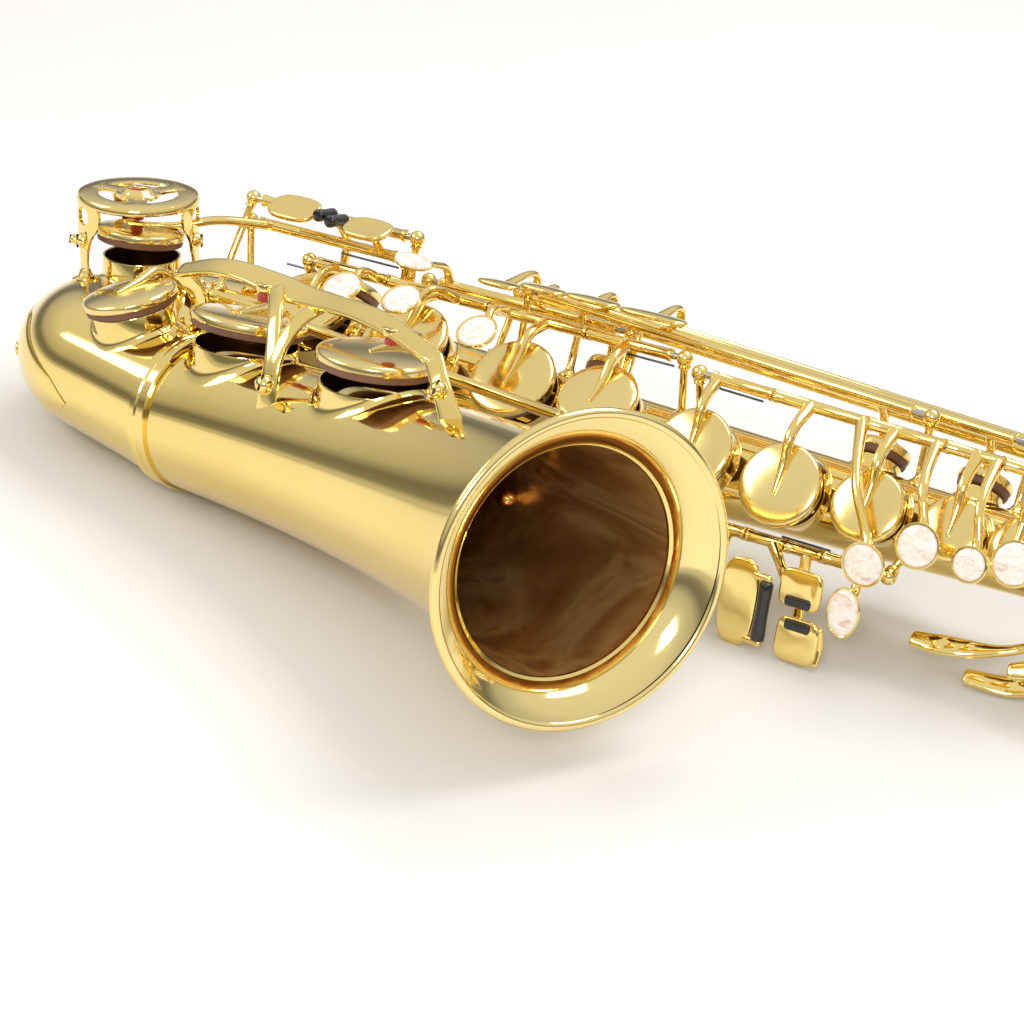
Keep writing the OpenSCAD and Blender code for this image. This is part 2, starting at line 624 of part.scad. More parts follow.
// Palm key: a leaf for the palm, a short cross tube, and a cup beyond it.
module palm_key(hole, leaf, tip) {
    a = palm_pivot(hole, -3, 28);
    b = palm_pivot(hole, 3, 28);
    m = (a + b) / 2;
    difference() {
        union() {
            bar(a, b, tube_r);
            body_cup(hole);
            wire([leaf, m + 8 * out_of(hole) - [0, 0, 9], m,
                cup_top(seat(hole), out_of(hole)) + 0.8 * out_of(hole)], arm_r);
            wire([leaf, tip], 4.4);
        }
        bar(m + 3 * (a - b), m - 3 * (a - b), rod_r + rod_gap);
    }
}

module palm_d_key() color("gold") lay() palm_key(PALM_D_HOLE, [22, 36, 352], [22, 39, 338]);
module palm_eb_key() color("gold") lay() palm_key(PALM_EB_HOLE, [16, 47, 380], [20, 48.5, 362]);
module palm_f_key() color("gold") lay() palm_key(PALM_F_HOLE, [30, 31, 398], [32, 37, 383]);

// Left little-finger touches: a lever from the table's pivot line to its plate.
module touch_lever(line, z0, z1, arm_z, path) {
    difference() {
        union() {
            hinge_tube(line, z0, z1);
            wire(concat([along(line, arm_z)], path), arm_r);
            children();
        }
        bore(line);
    }
}

module csharp_touch() color("gold") lay()
    touch_lever(TABLE_ROD, 246, 262, 254, [[40, 30, 258], [47, 34, 268]])
    translate([48, 38.5, 272.5]) cube([2.6, 33, 13], center = true);

module b_touch() color("gold") lay()
    touch_lever(TABLE_ROD, 262.6, 280, 274, [[36, 22, 282], [47, 26, 293]])
    translate([48, 26, 298.5]) cube([2.6, 15, 18], center = true);

module bb_touch() color("gold") lay()
    touch_lever(TABLE_ROD, 280.6, 297, 290, [[37, 33, 294], [46, 42, 298]])
    translate([48, 46.5, 300]) cube([2.6, 18, 18], center = true);

module gsharp_touch() color("gold") lay()
    touch_lever(TABLE_ROD, 297.6, 320, 314, [[38, 26, 317], [46, 29, 318.5]])
    aim([47, 29, 318.5], [1, 0, 0]) {
        translate([0, 0, -1]) cylinder(r = 7.6, h = 2);
        translate([0, 0, 1]) cylinder(r = 6.8, h = 1.4);
    }

module octave_lever() color("gold") lay() difference() {
    union() {
        hinge_tube(OCTAVE_ROD, 318, 362);
        wire([along(OCTAVE_ROD, 326), [-28, 8, 322], [-30, 0, 316]], arm_r);
        wire([[-30, -4, 315], [-30, 5, 315]], 3.4);
        wire([along(OCTAVE_ROD, 358), [-26, 12, 366], [-24, 6, 430], [-24, 2, body_len - 12]], 1.4);
    }
    bore(OCTAVE_ROD);
}

module neck_octave_key() color("gold") lay() {
    s = neck_rise + neck_arc_len * 0.62;
    c = neck_point(s);
    d = neck_dir(s);
    up = [d[2], 0, -d[0]];
    aim(c + (neck_r(s) + 2.2) * up, up) cylinder(r = 4, h = 4.4);
    wire([c + (neck_r(s) + 5.6) * up, c + (neck_r(s) + 9) * up - 26 * d, [20, 0, body_len + 52],
        [22.5, 0, body_len + 32]], 1.7);
    translate([22.5, 0, body_len + 29]) sphere(r = 2.6);
}

module roller(p, d, len) {
    color("black") lay() aim(p - len / 2 * d, d) cylinder(r = 2.9, h = len);
}

module bb_roller() roller([49.5, 38.5, 283.5], [0, 1, 0], 25);
module eb_roller() roller([14, -68, 21.4], [1, 0, 0], 13);
module c_roller() roller([14, -66.6, 28.1], [1, 0, 0], 13);

body_tube();
bow();
bell();
bell_tone_holes();
bow_tone_holes();
body_ring();
bell_ring();
bow_guard();
bell_brace();
low_c_guard();
low_b_guard();
guard_screws();
guard_felts();
body_pillars();
bell_pillars();
pivot_rods();
needle_springs();
strap_ring();
thumb_hook();
thumb_rest();
neck_socket();
neck_screw();
neck_tenon();
neck();
neck_cork();
mouthpiece();
ligature();
reed();
low_c_key();
eb_key();
low_csharp_key();
low_b_key();
low_bb_key();
d_key();
e_key();
f_key();
fsharp_key();
gsharp_key();
g_key();
a_key();
bis_key();
b_key();
c_key();
side_bb_key();
side_c_key();
side_e_key();
high_fsharp_key();
trill_key();
palm_d_key();
palm_eb_key();
palm_f_key();
csharp_touch();
b_touch();
bb_touch();
gsharp_touch();
octave_lever();
neck_octave_key();
bb_roller();
eb_roller();
c_roller();
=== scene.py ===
"""An alto saxophone laid on its side, built as a Blender add-on over a fixed mechanical frame."""
import math

import bmesh
import bpy
import numpy as np
from mathutils import Matrix


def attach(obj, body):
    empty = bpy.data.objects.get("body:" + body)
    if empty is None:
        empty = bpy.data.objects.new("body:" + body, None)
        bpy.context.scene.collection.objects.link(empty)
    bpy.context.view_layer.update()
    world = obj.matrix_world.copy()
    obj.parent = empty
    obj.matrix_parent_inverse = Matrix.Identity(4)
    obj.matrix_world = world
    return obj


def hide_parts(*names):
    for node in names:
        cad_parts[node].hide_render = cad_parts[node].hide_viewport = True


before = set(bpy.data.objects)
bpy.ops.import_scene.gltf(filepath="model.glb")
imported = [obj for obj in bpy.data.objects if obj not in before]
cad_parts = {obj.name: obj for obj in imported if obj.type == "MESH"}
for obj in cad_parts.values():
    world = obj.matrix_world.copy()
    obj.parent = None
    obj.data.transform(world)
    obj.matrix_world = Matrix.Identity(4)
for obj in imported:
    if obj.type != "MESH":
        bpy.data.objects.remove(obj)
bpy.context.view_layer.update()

bl_info = {
    "name": "Alto Saxophone",
    "version": (1, 0, 0),
    "blender": (4, 5, 0),
    "location": "View3D > Sidebar > Saxophone",
    "description": "Builds the lacquered body, bell, keys, guards and neck of an alto saxophone",
    "category": "Add Mesh",
}

# How the upright horn is laid down: roll about its length, pitch, and its shift in millimetres.
ROLL, PITCH, SHIFT = -12.01, -2.35, np.array([-240.662, 16.341, 33.139])

# The horn's own frame, in millimetres: Z up the body to the neck, X towards the bell, Y to the player's left.
BODY_LEN, BODY_LOW_R, BODY_TOP_R = 490.0, 26.0, 12.6
BELL_LEAN, BELL_CURL, BELL_LEN, BELL_ROOT_R, BELL_RIM_R = 9.5, 20.0, 263.0, 33.0, 61.0
BOW_DROP, BOW_TURN_R, BOW_LEG, BELL_SIDE = 36.0, 39.77, 66.4, 16.5
NECK_FOOT, NECK_TURN_R, NECK_TURN, NECK_RISE, NECK_REACH = BODY_LEN + 26, 52.0, 98.0, 10.0, 74.0
TUBE_R, ROD_R, SEAT_GAP, PAD_H, CUP_H = 2.7, 1.5, 0.35, 3.4, 4.2

# Pivot lines: foot end and head end.
LINES = {
    "low": [[10, -45, 13], [10, -45, 211]],
    "top": [[16, -42, 222], [16, -36.6, 415]],
    "c": [[-2, -54, -32], [-2, -54, 58]],
    "eb": [[-2, -64.5, -32], [-2, -64.5, 62]],
    "bell": [[62, -32, -34], [84, -25, 204]],
    "trill": [[-12.9, -45, 64], [-12.9, -45, 172]],
    "side_bb": [[-2, -54.5, 124], [-2, -44.75, 319]],
    "side_c": [[-9, -53.2, 149], [-9, -42.6, 361]],
    "side_e": [[-16, -51.2, 175], [-16, -38, 438.7]],
    "high": [[-23, -48, 107], [-23, -30.1, 465]],
    "table": [[30, 15, 240], [30, 15, 326]],
    "octave": [[-21, 13, 312], [-21, 13, 368]],
}
LINES = {name: np.array(ends, float) for name, ends in LINES.items()}

# Body tone holes: angle round the tube, height, hole radius, seat distance from the axis.
HOLES = {
    "d": (-44, 29, 17.6, 32), "e": (-40, 84, 16.8, 30.6), "f": (-34, 142, 16.2, 28.6),
    "fsharp": (-39, 183, 14.6, 26.8), "gsharp": (-25, 231, 14.2, 26.4), "g": (-15, 274, 14.4, 23.8),
    "a": (-18, 312, 12.2, 22.4), "bis": (-20, 348, 10.4, 20.8), "b": (-21, 374.5, 8.4, 19.8),
    "c": (-22, 402, 7.8, 18.8), "eb": (-118, 18, 13.5, 30), "trill": (-132, 160, 8.5, 26.5),
    "side_bb": (-122, 296, 9, 22), "side_c": (-124, 342, 8.5, 20.8), "side_e": (-124, 424, 7.5, 18.6),
    "high": (-134, 452, 6.5, 18), "palm_d": (70, 420, 7.5, 18.8), "palm_eb": (126, 450, 7.2, 18.2),
    "palm_f": (34, 467, 7, 17.4),
}
# Bell and bow tone holes: centre of the seat, outward direction, hole radius.
SEATS = {
    "low_c": ((37, -33.5, -63), (0.156, -0.988, 0), 17),
    "low_csharp": ((93.2, -22.6, -18.6), (0.27, -0.94, -0.2), 17.5),
    "low_b": ((98, -22.6, 49), (0.09, -0.996, 0), 21.5), "low_bb": ((121.5, -28.6, 132), (0.14, -0.99, 0), 21.5),
}


# ---------------------------------------------------------------- the horn's frame and lines
def turn_matrix():
    """The turn that lays the horn down: horn axes to row axes, then roll about X, then pitch about Y."""
    a, b = math.radians(ROLL), math.radians(PITCH)
    lay = np.array([[0, 0, 1], [-1, 0, 0], [0, -1, 0]], float)
    roll = np.array([[1, 0, 0], [0, math.cos(a), -math.sin(a)], [0, math.sin(a), math.cos(a)]])
    pitch = np.array([[math.cos(b), 0, math.sin(b)], [0, 1, 0], [-math.sin(b), 0, math.cos(b)]])
    return pitch @ roll @ lay


LAY = turn_matrix()


def laid(points):
    """Horn millimetres to row metres."""
    return (np.asarray(points, float) @ LAY.T + SHIFT) / 1000


def placed(turn, at):
    """A 4 by 4 placing matrix from a rotation and a point."""
    return Matrix(np.block([[turn, np.asarray(at)[:, None]], [np.zeros((1, 3)), np.ones((1, 1))]]).tolist())


def unit(v):
    v = np.asarray(v, float)
    return v / np.linalg.norm(v)


def body_r(z):
    return BODY_LOW_R + (BODY_TOP_R - BODY_LOW_R) * z / BODY_LEN


def on_body(angle, z, r):
    a = math.radians(angle)
    return np.array([r * math.cos(a), r * math.sin(a), z])


def out_of(hole):
    a = math.radians(hole[0])
    return np.array([math.cos(a), math.sin(a), 0])


def along(line, z):
    """The point of a pivot line at height z."""
    a, b = LINES[line] if isinstance(line, str) else line
    return a + (b - a) * (z - a[2]) / (b[2] - a[2])


def bow_line(s):
    """Bow centre: straight down, an arc in the X-Z plane, then a straight leg, moved evenly to the bell's side."""
    lean = math.radians(BELL_LEAN)
    a = np.clip((s - BOW_DROP) / BOW_TURN_R, 0, math.pi - lean)
    leg = np.maximum(s - BOW_DROP - BOW_TURN_R * (math.pi - lean), 0)
    centre = np.stack([BOW_TURN_R * (1 - np.cos(a)) + leg * math.sin(lean), BELL_SIDE * s / BOW_LEN,
                       -np.minimum(s, BOW_DROP) - BOW_TURN_R * np.sin(a) + leg * math.cos(lean)], -1)
    ahead = np.stack([np.sin(a), 0 * a, -np.cos(a)], -1)
    return centre, ahead, BODY_LOW_R + (BELL_ROOT_R - BODY_LOW_R) * s / BOW_LEN


BOW_LEN = BOW_DROP + BOW_TURN_R * math.radians(180 - BELL_LEAN) + BOW_LEG


def bell_line(s):
    """Bell centre: an arc of a circle whose lean grows by the curl, drifting back across."""
    turn_r = BELL_LEN / math.radians(BELL_CURL)
    foot = bow_line(np.array([BOW_LEN]))[0][0]
    lean = math.radians(BELL_LEAN)
    a = lean + np.radians(BELL_CURL) * s / BELL_LEN
    centre = foot + np.stack([turn_r * (math.cos(lean) - np.cos(a)), -13.2 * s / BELL_LEN,
                              turn_r * (np.sin(a) - math.sin(lean))], -1)
    ahead = np.stack([np.sin(a), 0 * a, np.cos(a)], -1)
    u = s / BELL_LEN
    flare = 0.26 * u + 0.2 * u ** 3 + 0.54 * u ** 44
    return centre, ahead, BELL_ROOT_R + (BELL_RIM_R - BELL_ROOT_R) * flare


def neck_line(s):
    """Neck centre: a short rise, an arc towards the player, then a straight reach."""
    turn = math.radians(NECK_TURN)
    arc_len = NECK_TURN_R * turn
    a = np.clip((s - NECK_RISE) / NECK_TURN_R, 0, turn)
    reach = np.maximum(s - NECK_RISE - arc_len, 0)
    centre = np.stack([NECK_TURN_R * (np.cos(a) - 1) - reach * math.sin(turn), 0 * s,
                       NECK_FOOT + np.minimum(s, NECK_RISE) + NECK_TURN_R * np.sin(a) + reach * math.cos(turn)], -1)
    ahead = np.stack([-np.sin(a), 0 * a, np.cos(a)], -1)
    total = NECK_RISE + arc_len + NECK_REACH
    return centre, ahead, 12.1 - 5.1 * s / total


NECK_LEN = NECK_RISE + NECK_TURN_R * math.radians(NECK_TURN) + NECK_REACH


def body_line(s):
    s = np.asarray(s, float)
    return np.stack([0 * s, 0 * s, s], -1), np.stack([0 * s, 0 * s, 0 * s + 1], -1), body_r(s)


# ---------------------------------------------------------------- surfaces
def basis(d, up=(0, 0, 1)):
    """Two unit vectors square to d and to each other, so that u, v, d is right-handed."""
    d = unit(d)
    u = np.cross(up, d)
    if np.linalg.norm(u) < 1e-3:
        u = np.cross((1, 0, 0), d)
    u = unit(u)
    return u, np.cross(d, u)


def lathe(profile, p=(0, 0, 0), d=(0, 0, 1), n=48, outline=None, up=(0, 0, 1)):
    """Rings round the line from p along d: each profile row is (radius, height); outline(angle) may
    replace the circle by a factor on the radius."""
    profile = np.asarray(profile, float)
    u, v = basis(d, up)
    a = np.linspace(0, 2 * np.pi, n, endpoint=False)
    shape = np.ones(n) if outline is None else outline(a)
    r = profile[:, :1] * shape[None]
    rim = np.cos(a)[:, None] * u + np.sin(a)[:, None] * v
    return np.asarray(p, float) + profile[:, None, 1:2] * unit(d) + r[..., None] * rim[None]


def puck(r, low, high, edge=0.5, dome=0.0, steps=4):
    """Profile of a closed disc with rounded edges and a slightly domed top."""
    t = np.linspace(0, np.pi / 2, steps)
    bottom = np.stack([r - edge + edge * np.sin(t), low + edge - edge * np.cos(t)], 1)
    top = np.stack([r - edge + edge * np.cos(t), high - edge + edge * np.sin(t)], 1)
    k = np.linspace(1, 0, 5)[1:]
    cap = np.stack([(r - edge) * k, high + dome * (1 - k ** 2)], 1)
    return np.concatenate([[[0, low]], bottom, top, cap])


def ball(r, h, steps=9):
    """Profile of a sphere of radius r with its middle at height h."""
    t = np.linspace(-np.pi / 2, np.pi / 2, steps)
    return np.stack([r * np.cos(t), h + r * np.sin(t)], 1)


def superellipse(a, b, k):
    """Outline factor: the radius of a rounded rectangle with half sizes a, b and corner power k."""
    return lambda t: (np.abs(np.cos(t) / a) ** k + np.abs(np.sin(t) / b) ** k) ** (-1 / k)


def curve(points, n):
    """A smooth curve through given points: cubic segments with chord tangents, n points in all."""
    p = np.asarray(points, float)
    if len(p) == 2:
        return p[0] + (p[1] - p[0]) * np.linspace(0, 1, n)[:, None]
    gap = np.linalg.norm(np.diff(p, axis=0), axis=1)
    at = np.concatenate([[0], np.cumsum(gap)])
    ends = np.concatenate([[2 * p[0] - p[1]], p, [2 * p[-1] - p[-2]]])
    gaps = np.concatenate([[gap[0]], gap, [gap[-1]]])
    slope = ((ends[1:-1] - ends[:-2]) / gaps[:-1, None] * gaps[1:, None]
             + (ends[2:] - ends[1:-1]) / gaps[1:, None] * gaps[:-1, None]) / (gaps[:-1] + gaps[1:])[:, None]
    s = np.linspace(0, at[-1], n)
    k = np.clip(np.searchsorted(at, s, "right") - 1, 0, len(gap) - 1)
    t = ((s - at[k]) / gap[k])[:, None]
    h = gap[k][:, None]
    return ((2 * t ** 3 - 3 * t ** 2 + 1) * p[k] + (t ** 3 - 2 * t ** 2 + t) * h * slope[k]
            + (3 * t ** 2 - 2 * t ** 3) * p[k + 1] + (t ** 3 - t ** 2) * h * slope[k + 1])


def sweep(points, wide, high=None, up=(0, -1, 0), n=14, steps=None, power=2.0):
    """A closed bar: a superellipse section carried along a smooth path. wide is the half width across
    the path and up, high the half thickness along up; both may be rows of values along the path.
    Round ends: the last rings shrink on a quarter circle."""
    span = len(points) * 8 if len(points) > 2 else 6
    steps = steps or span
    path = curve(points, steps)
    high = wide if high is None else high
    s = np.linspace(0, 1, steps)
    w = np.interp(s, np.linspace(0, 1, np.size(wide)), np.atleast_1d(wide))
    h = np.interp(s, np.linspace(0, 1, np.size(high)), np.atleast_1d(high))
    tangent = np.gradient(path, axis=0)
    tangent /= np.linalg.norm(tangent, axis=1)[:, None]
    side = np.cross(tangent, unit(up))
    side /= np.maximum(np.linalg.norm(side, axis=1), 1e-6)[:, None]
    upward = np.cross(side, tangent)
    q = np.linspace(0, np.pi / 2, 5)[:-1]

    def end(k, sign):
        r = min(w[k], h[k])
        shift = sign * r * np.cos(q)[:, None] * tangent[k]
        grow = np.sin(q)
        grow[0] = 0
        return path[k] + shift, grow * w[k], grow * h[k]

    c0, w0, h0 = end(0, -1)
    c1, w1, h1 = end(-1, 1)
    centre = np.concatenate([c0, path, c1[::-1]])
    w = np.concatenate([w0, w, w1[::-1]])
    h = np.concatenate([h0, h, h1[::-1]])
    side = np.concatenate([np.repeat(side[:1], 4, 0), side, np.repeat(side[-1:], 4, 0)])
    upward = np.concatenate([np.repeat(upward[:1], 4, 0), upward, np.repeat(upward[-1:], 4, 0)])
    a = np.linspace(0, 2 * np.pi, n, endpoint=False)
    x = np.sign(np.cos(a)) * np.abs(np.cos(a)) ** (2 / power)
    y = np.sign(np.sin(a)) * np.abs(np.sin(a)) ** (2 / power)
    return centre[:, None] + (w[:, None] * x)[..., None] * side[:, None] + (h[:, None] * y)[..., None] * upward[:, None]


def tube_rows(line, s, grow=0.0, n=64):
    """Rings square to a horn line: centre(s) plus (radius(s) + grow) in the X-Z plane and along Y."""
    centre, ahead, r = line(np.asarray(s, float))
    r = r + grow
    a = np.linspace(0, 2 * np.pi, n, endpoint=False)
    across = np.stack([ahead[:, 2], 0 * r, -ahead[:, 0]], -1)
    y = np.array([0, 1.0, 0])
    return centre[:, None] + r[:, None, None] * (np.cos(a)[None, :, None] * across[:, None]
                                                 + np.sin(a)[None, :, None] * y)


def swung(line, angle):
    """A function that turns points about a pivot line by an angle in degrees."""
    a, b = LINES[line]
    k = unit(b - a)
    t = math.radians(angle)
    skew = np.array([[0, -k[2], k[1]], [k[2], 0, -k[0]], [-k[1], k[0], 0]])
    turn = np.eye(3) + math.sin(t) * skew + (1 - math.cos(t)) * skew @ skew
    return lambda p: (np.asarray(p) - a) @ turn.T + a


class Piece:
    """One piece in the making: grids of points in horn millimetres, each with a finish."""

    def __init__(self, name, place=None):
        self.name, self.place = name, place
        self.points, self.faces, self.finish, self.finishes, self.count = [], [], [], [], 0

    def add(self, grid, finish):
        """Adds a surface of rows of closed rings, with faces between neighbouring rings."""
        if self.place:
            grid = self.place(grid)
        rows, n = grid.shape[:2]
        index = np.arange(rows * n).reshape(rows, n) + self.count
        ahead = np.roll(index, -1, axis=1)
        quads = np.stack([index[:-1], ahead[:-1], ahead[1:], index[1:]], -1).reshape(-1, 4)
        if finish not in self.finishes:
            self.finishes.append(finish)
        self.points.append(grid.reshape(-1, 3))
        self.faces.append(quads)
        self.finish.append(np.full(len(quads), self.finishes.index(finish)))
        self.count += rows * n
        return self

    def make(self, body, *nodes, slot="lacquered_brass", sharp=38):
        """Puts the surfaces into a mesh, welds seams and poles, and hands it to the frame."""
        mesh = bpy.data.meshes.new(self.name)
        mesh.from_pydata(laid(np.concatenate(self.points)), [], np.concatenate(self.faces))
        mesh.polygons.foreach_set("material_index", np.concatenate(self.finish).astype(np.int32))
        for finish in self.finishes:
            mesh.materials.append(finish_of(finish))
        bm = bmesh.new()
        bm.from_mesh(mesh)
        bmesh.ops.remove_doubles(bm, verts=bm.verts, dist=2e-6)
        bmesh.ops.dissolve_degenerate(bm, edges=bm.edges, dist=1e-7)
        bm.to_mesh(mesh)
        bm.free()
        mesh.polygons.foreach_set("use_smooth", np.ones(len(mesh.polygons), bool))
        mesh.set_sharp_from_angle(angle=math.radians(sharp))
        mesh.update()
        piece = bpy.data.objects.new(self.name, mesh)
        bpy.context.collection.objects.link(piece)
        if nodes:
            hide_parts(*nodes)
        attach(piece, body)
        return piece


# ---------------------------------------------------------------- finishes
class Nodes:
    """A material's node tree with a few shorthand steps."""

    def __init__(self, name):
        self.material = bpy.data.materials.new(name)
        self.material.use_nodes = True
        self.tree = self.material.node_tree
        self.shader = self.tree.nodes["Principled BSDF"]
        self.coords = self.tree.nodes.new("ShaderNodeTexCoord").outputs["Object"]

    def set(self, **values):
        for key, value in values.items():
            self.shader.inputs[key.replace("_", " ")].default_value = value

    def noise(self, scale, detail=3.0, rough=0.5, distortion=0.0, source=None):
        node = self.tree.nodes.new("ShaderNodeTexNoise")
        for key, value in (("Scale", scale), ("Detail", detail), ("Roughness", rough), ("Distortion", distortion)):
            node.inputs[key].default_value = value
        self.tree.links.new(source or self.coords, node.inputs["Vector"])
        return node.outputs["Fac"]

    def ramp(self, source, *stops):
        node = self.tree.nodes.new("ShaderNodeValToRGB")
        while len(node.color_ramp.elements) < len(stops):
            node.color_ramp.elements.new(0.5)
        for element, (at, colour) in zip(node.color_ramp.elements, stops):
            element.position = at
            element.color = colour if len(colour) == 4 else (*colour, 1)
        self.tree.links.new(source, node.inputs["Fac"])
        return node.outputs["Color"]

    def spread(self, source, low, high):
        node = self.tree.nodes.new("ShaderNodeMapRange")
        node.inputs["To Min"].default_value = low
        node.inputs["To Max"].default_value = high
        self.tree.links.new(source, node.inputs["Value"])
        return node.outputs["Result"]

    def stretch(self, scale):
        node = self.tree.nodes.new("ShaderNodeMapping")
        node.inputs["Scale"].default_value = scale
        self.tree.links.new(self.coords, node.inputs["Vector"])
        return node.outputs["Vector"]

    def link(self, source, socket):
        self.tree.links.new(source, self.shader.inputs[socket])

    def bump(self, source, strength, depth):
        node = self.tree.nodes.new("ShaderNodeBump")
        node.inputs["Strength"].default_value = strength
        node.inputs["Distance"].default_value = depth
        self.tree.links.new(source, node.inputs["Height"])
        self.link(node.outputs["Normal"], "Normal")


def metal(name, base, dark, rough, ripple=0.0, coat=0.35, ripple_scale=22):
    """Polished lacquered metal: slow colour drift, uneven gloss, fine ripple of the lacquer."""
    n = Nodes(name)
    n.set(Metallic=1.0, Coat_Weight=coat, Coat_Roughness=0.04)
    n.link(n.ramp(n.noise(9, 2), (0.35, dark), (0.65, base)), "Base Color")
    n.link(n.spread(n.noise(55, 4), rough * 0.75, rough * 1.35), "Roughness")
    if ripple:
        n.bump(n.noise(ripple_scale, 2), ripple, 0.002)
    return n.material


def brass_bright():
    return metal("gold_lacquer", (0.93, 0.72, 0.26), (0.88, 0.655, 0.205), 0.07, 0.03)


def brass_cup():
    return metal("gold_lacquer_cups", (0.91, 0.72, 0.30), (0.86, 0.66, 0.24), 0.14, 0.03)


def brass_rim():
    return metal("gold_lacquer_rim", (0.94, 0.76, 0.33), (0.90, 0.70, 0.27), 0.08, 0.02)


def bell_inside():
    """Amber interior: streaked lacquer drawn out along the bell, brown in the throat."""
    n = Nodes("amber_bell_inside")
    n.set(Metallic=0.8, Coat_Weight=0.5, Coat_Roughness=0.08)
    swirl = n.noise(9, 3, 0.55, 2.2, n.stretch((1, 1.6, 2.2)))
    n.link(n.ramp(swirl, (0.3, (0.36, 0.15, 0.03)), (0.45, (0.62, 0.32, 0.09)), (0.56, (0.9, 0.58, 0.22)),
                  (0.64, (0.55, 0.25, 0.06)), (0.8, (0.40, 0.15, 0.035))), "Base Color")
    n.link(n.spread(n.noise(30, 3), 0.22, 0.4), "Roughness")
    n.bump(n.noise(12, 3, 0.6, 1.5, n.stretch((1, 2, 3))), 0.35, 0.004)
    return n.material


# Painted shade: near-black metal for the insides of tone holes, the bores and the screw slots, where shade falls.
def painted_shade_finish():
    n = Nodes("tone_hole_shadow")
    n.set(Metallic=1.0)
    n.link(n.ramp(n.noise(30, 3), (0.3, (0.05, 0.02, 0.006)), (0.7, (0.12, 0.05, 0.015))), "Base Color")
    n.link(n.spread(n.noise(60, 2), 0.3, 0.5), "Roughness")
    return n.material


def pad_leather():
    n = Nodes("pad_leather")
    n.link(n.ramp(n.noise(40, 4), (0.3, (0.13, 0.055, 0.028)), (0.7, (0.22, 0.1, 0.05))), "Base Color")
    n.link(n.spread(n.noise(90, 3), 0.45, 0.65), "Roughness")
    n.bump(n.noise(420, 3), 0.3, 0.0004)
    return n.material


def pearl():
    """Mother of pearl: pale pink and cream clouds under a clear gloss."""
    n = Nodes("mother_of_pearl")
    n.set(Coat_Weight=0.8, Coat_Roughness=0.05, Subsurface_Weight=0.15, Subsurface_Scale=0.004)
    cloud = n.noise(120, 4, 0.6, 1.8, n.stretch((1, 1, 2.4)))
    n.link(n.ramp(cloud, (0.3, (0.68, 0.50, 0.41)), (0.45, (0.86, 0.76, 0.66)), (0.58, (0.93, 0.88, 0.82)),
                  (0.72, (0.80, 0.72, 0.66))), "Base Color")
    n.link(n.spread(n.noise(200, 2), 0.12, 0.3), "Roughness")
    return n.material


def black_gloss(name="black_resin"):
    n = Nodes(name)
    n.set(Coat_Weight=0.4, Coat_Roughness=0.05)
    n.link(n.ramp(n.noise(50, 2), (0.3, (0.008, 0.008, 0.009)), (0.7, (0.018, 0.017, 0.016))), "Base Color")
    n.link(n.spread(n.noise(80, 3), 0.12, 0.25), "Roughness")
    return n.material


def felt():
    n = Nodes("red_felt")
    n.set(Sheen_Weight=0.5)
    n.link(n.ramp(n.noise(700, 4), (0.3, (0.30, 0.02, 0.015)), (0.7, (0.55, 0.06, 0.04))), "Base Color")
    n.link(n.spread(n.noise(300, 2), 0.8, 0.95), "Roughness")
    n.bump(n.noise(900, 4), 0.6, 0.0006)
    return n.material


def steel(name="steel_rod", base=(0.55, 0.55, 0.56), dark=(0.42, 0.42, 0.43)):
    return metal(name, base, dark, 0.2, 0.0, 0.0)


def blued():
    return steel("blued_spring", (0.16, 0.2, 0.3), (0.09, 0.11, 0.18))


def cork():
    n = Nodes("neck_cork")
    n.link(n.ramp(n.noise(260, 5, 0.7), (0.35, (0.23, 0.12, 0.05)), (0.5, (0.50, 0.31, 0.16)),
                  (0.7, (0.62, 0.42, 0.24))), "Base Color")
    n.link(n.spread(n.noise(150, 3), 0.7, 0.9), "Roughness")
    n.bump(n.noise(320, 4), 0.5, 0.0006)
    return n.material


def cane():
    n = Nodes("reed_cane")
    fibre = n.noise(220, 4, 0.6, 0.4, n.stretch((0.12, 1, 1)))
    n.link(n.ramp(fibre, (0.3, (0.55, 0.38, 0.16)), (0.7, (0.78, 0.62, 0.34))), "Base Color")
    n.link(n.spread(fibre, 0.45, 0.6), "Roughness")
    n.bump(fibre, 0.2, 0.0003)
    return n.material


FINISHES = {
    "gold": brass_bright, "cup": brass_cup, "rim": brass_rim, "amber": bell_inside, "dark": painted_shade_finish,
    "pad": pad_leather, "pearl": pearl, "black": black_gloss, "felt": felt, "steel": steel, "blued": blued,
    "cork": cork, "cane": cane,
}
MADE = {}


def finish_of(name):
    if name not in MADE:
        MADE[name] = FINISHES[name]()
    return MADE[name]


# ---------------------------------------------------------------- parts of keys
def put_cup(piece, seat, out, r, crown=0.7):
    """Padded cup: leather pad with a rolled edge, brass wall, stepped and crowned top."""
    p = np.asarray(seat, float) + SEAT_GAP * unit(out)
    pad = np.array([[0, 0.5], [r * 0.35, 0.5], [r * 0.36, 1.0], [r * 0.5, 0.3], [r - 2.0, 0.05], [r - 1.1, 0.5],
                    [r - 0.8, 1.6], [r - 0.85, PAD_H + 0.2]])
    piece.add(lathe(pad, p, out, 56), "pad")
    low, high = PAD_H - 0.2, PAD_H + CUP_H
    wall = np.array([[r - 1.4, low + 0.3], [r - 0.5, low], [r, low + 0.5], [r, high - 2.1], [r - 0.25, high - 1.3],
                     [r - 0.9, high - 0.7], [r - 2.0, high - 0.35], [r * 0.78, high - 0.1 + crown * 0.25],
                     [r * 0.55, high + crown * 0.6], [r * 0.3, high + crown * 0.9], [0, high + crown]])
    piece.add(lathe(wall, p, out, 56), "cup")
    return p + (high + crown) * unit(out)


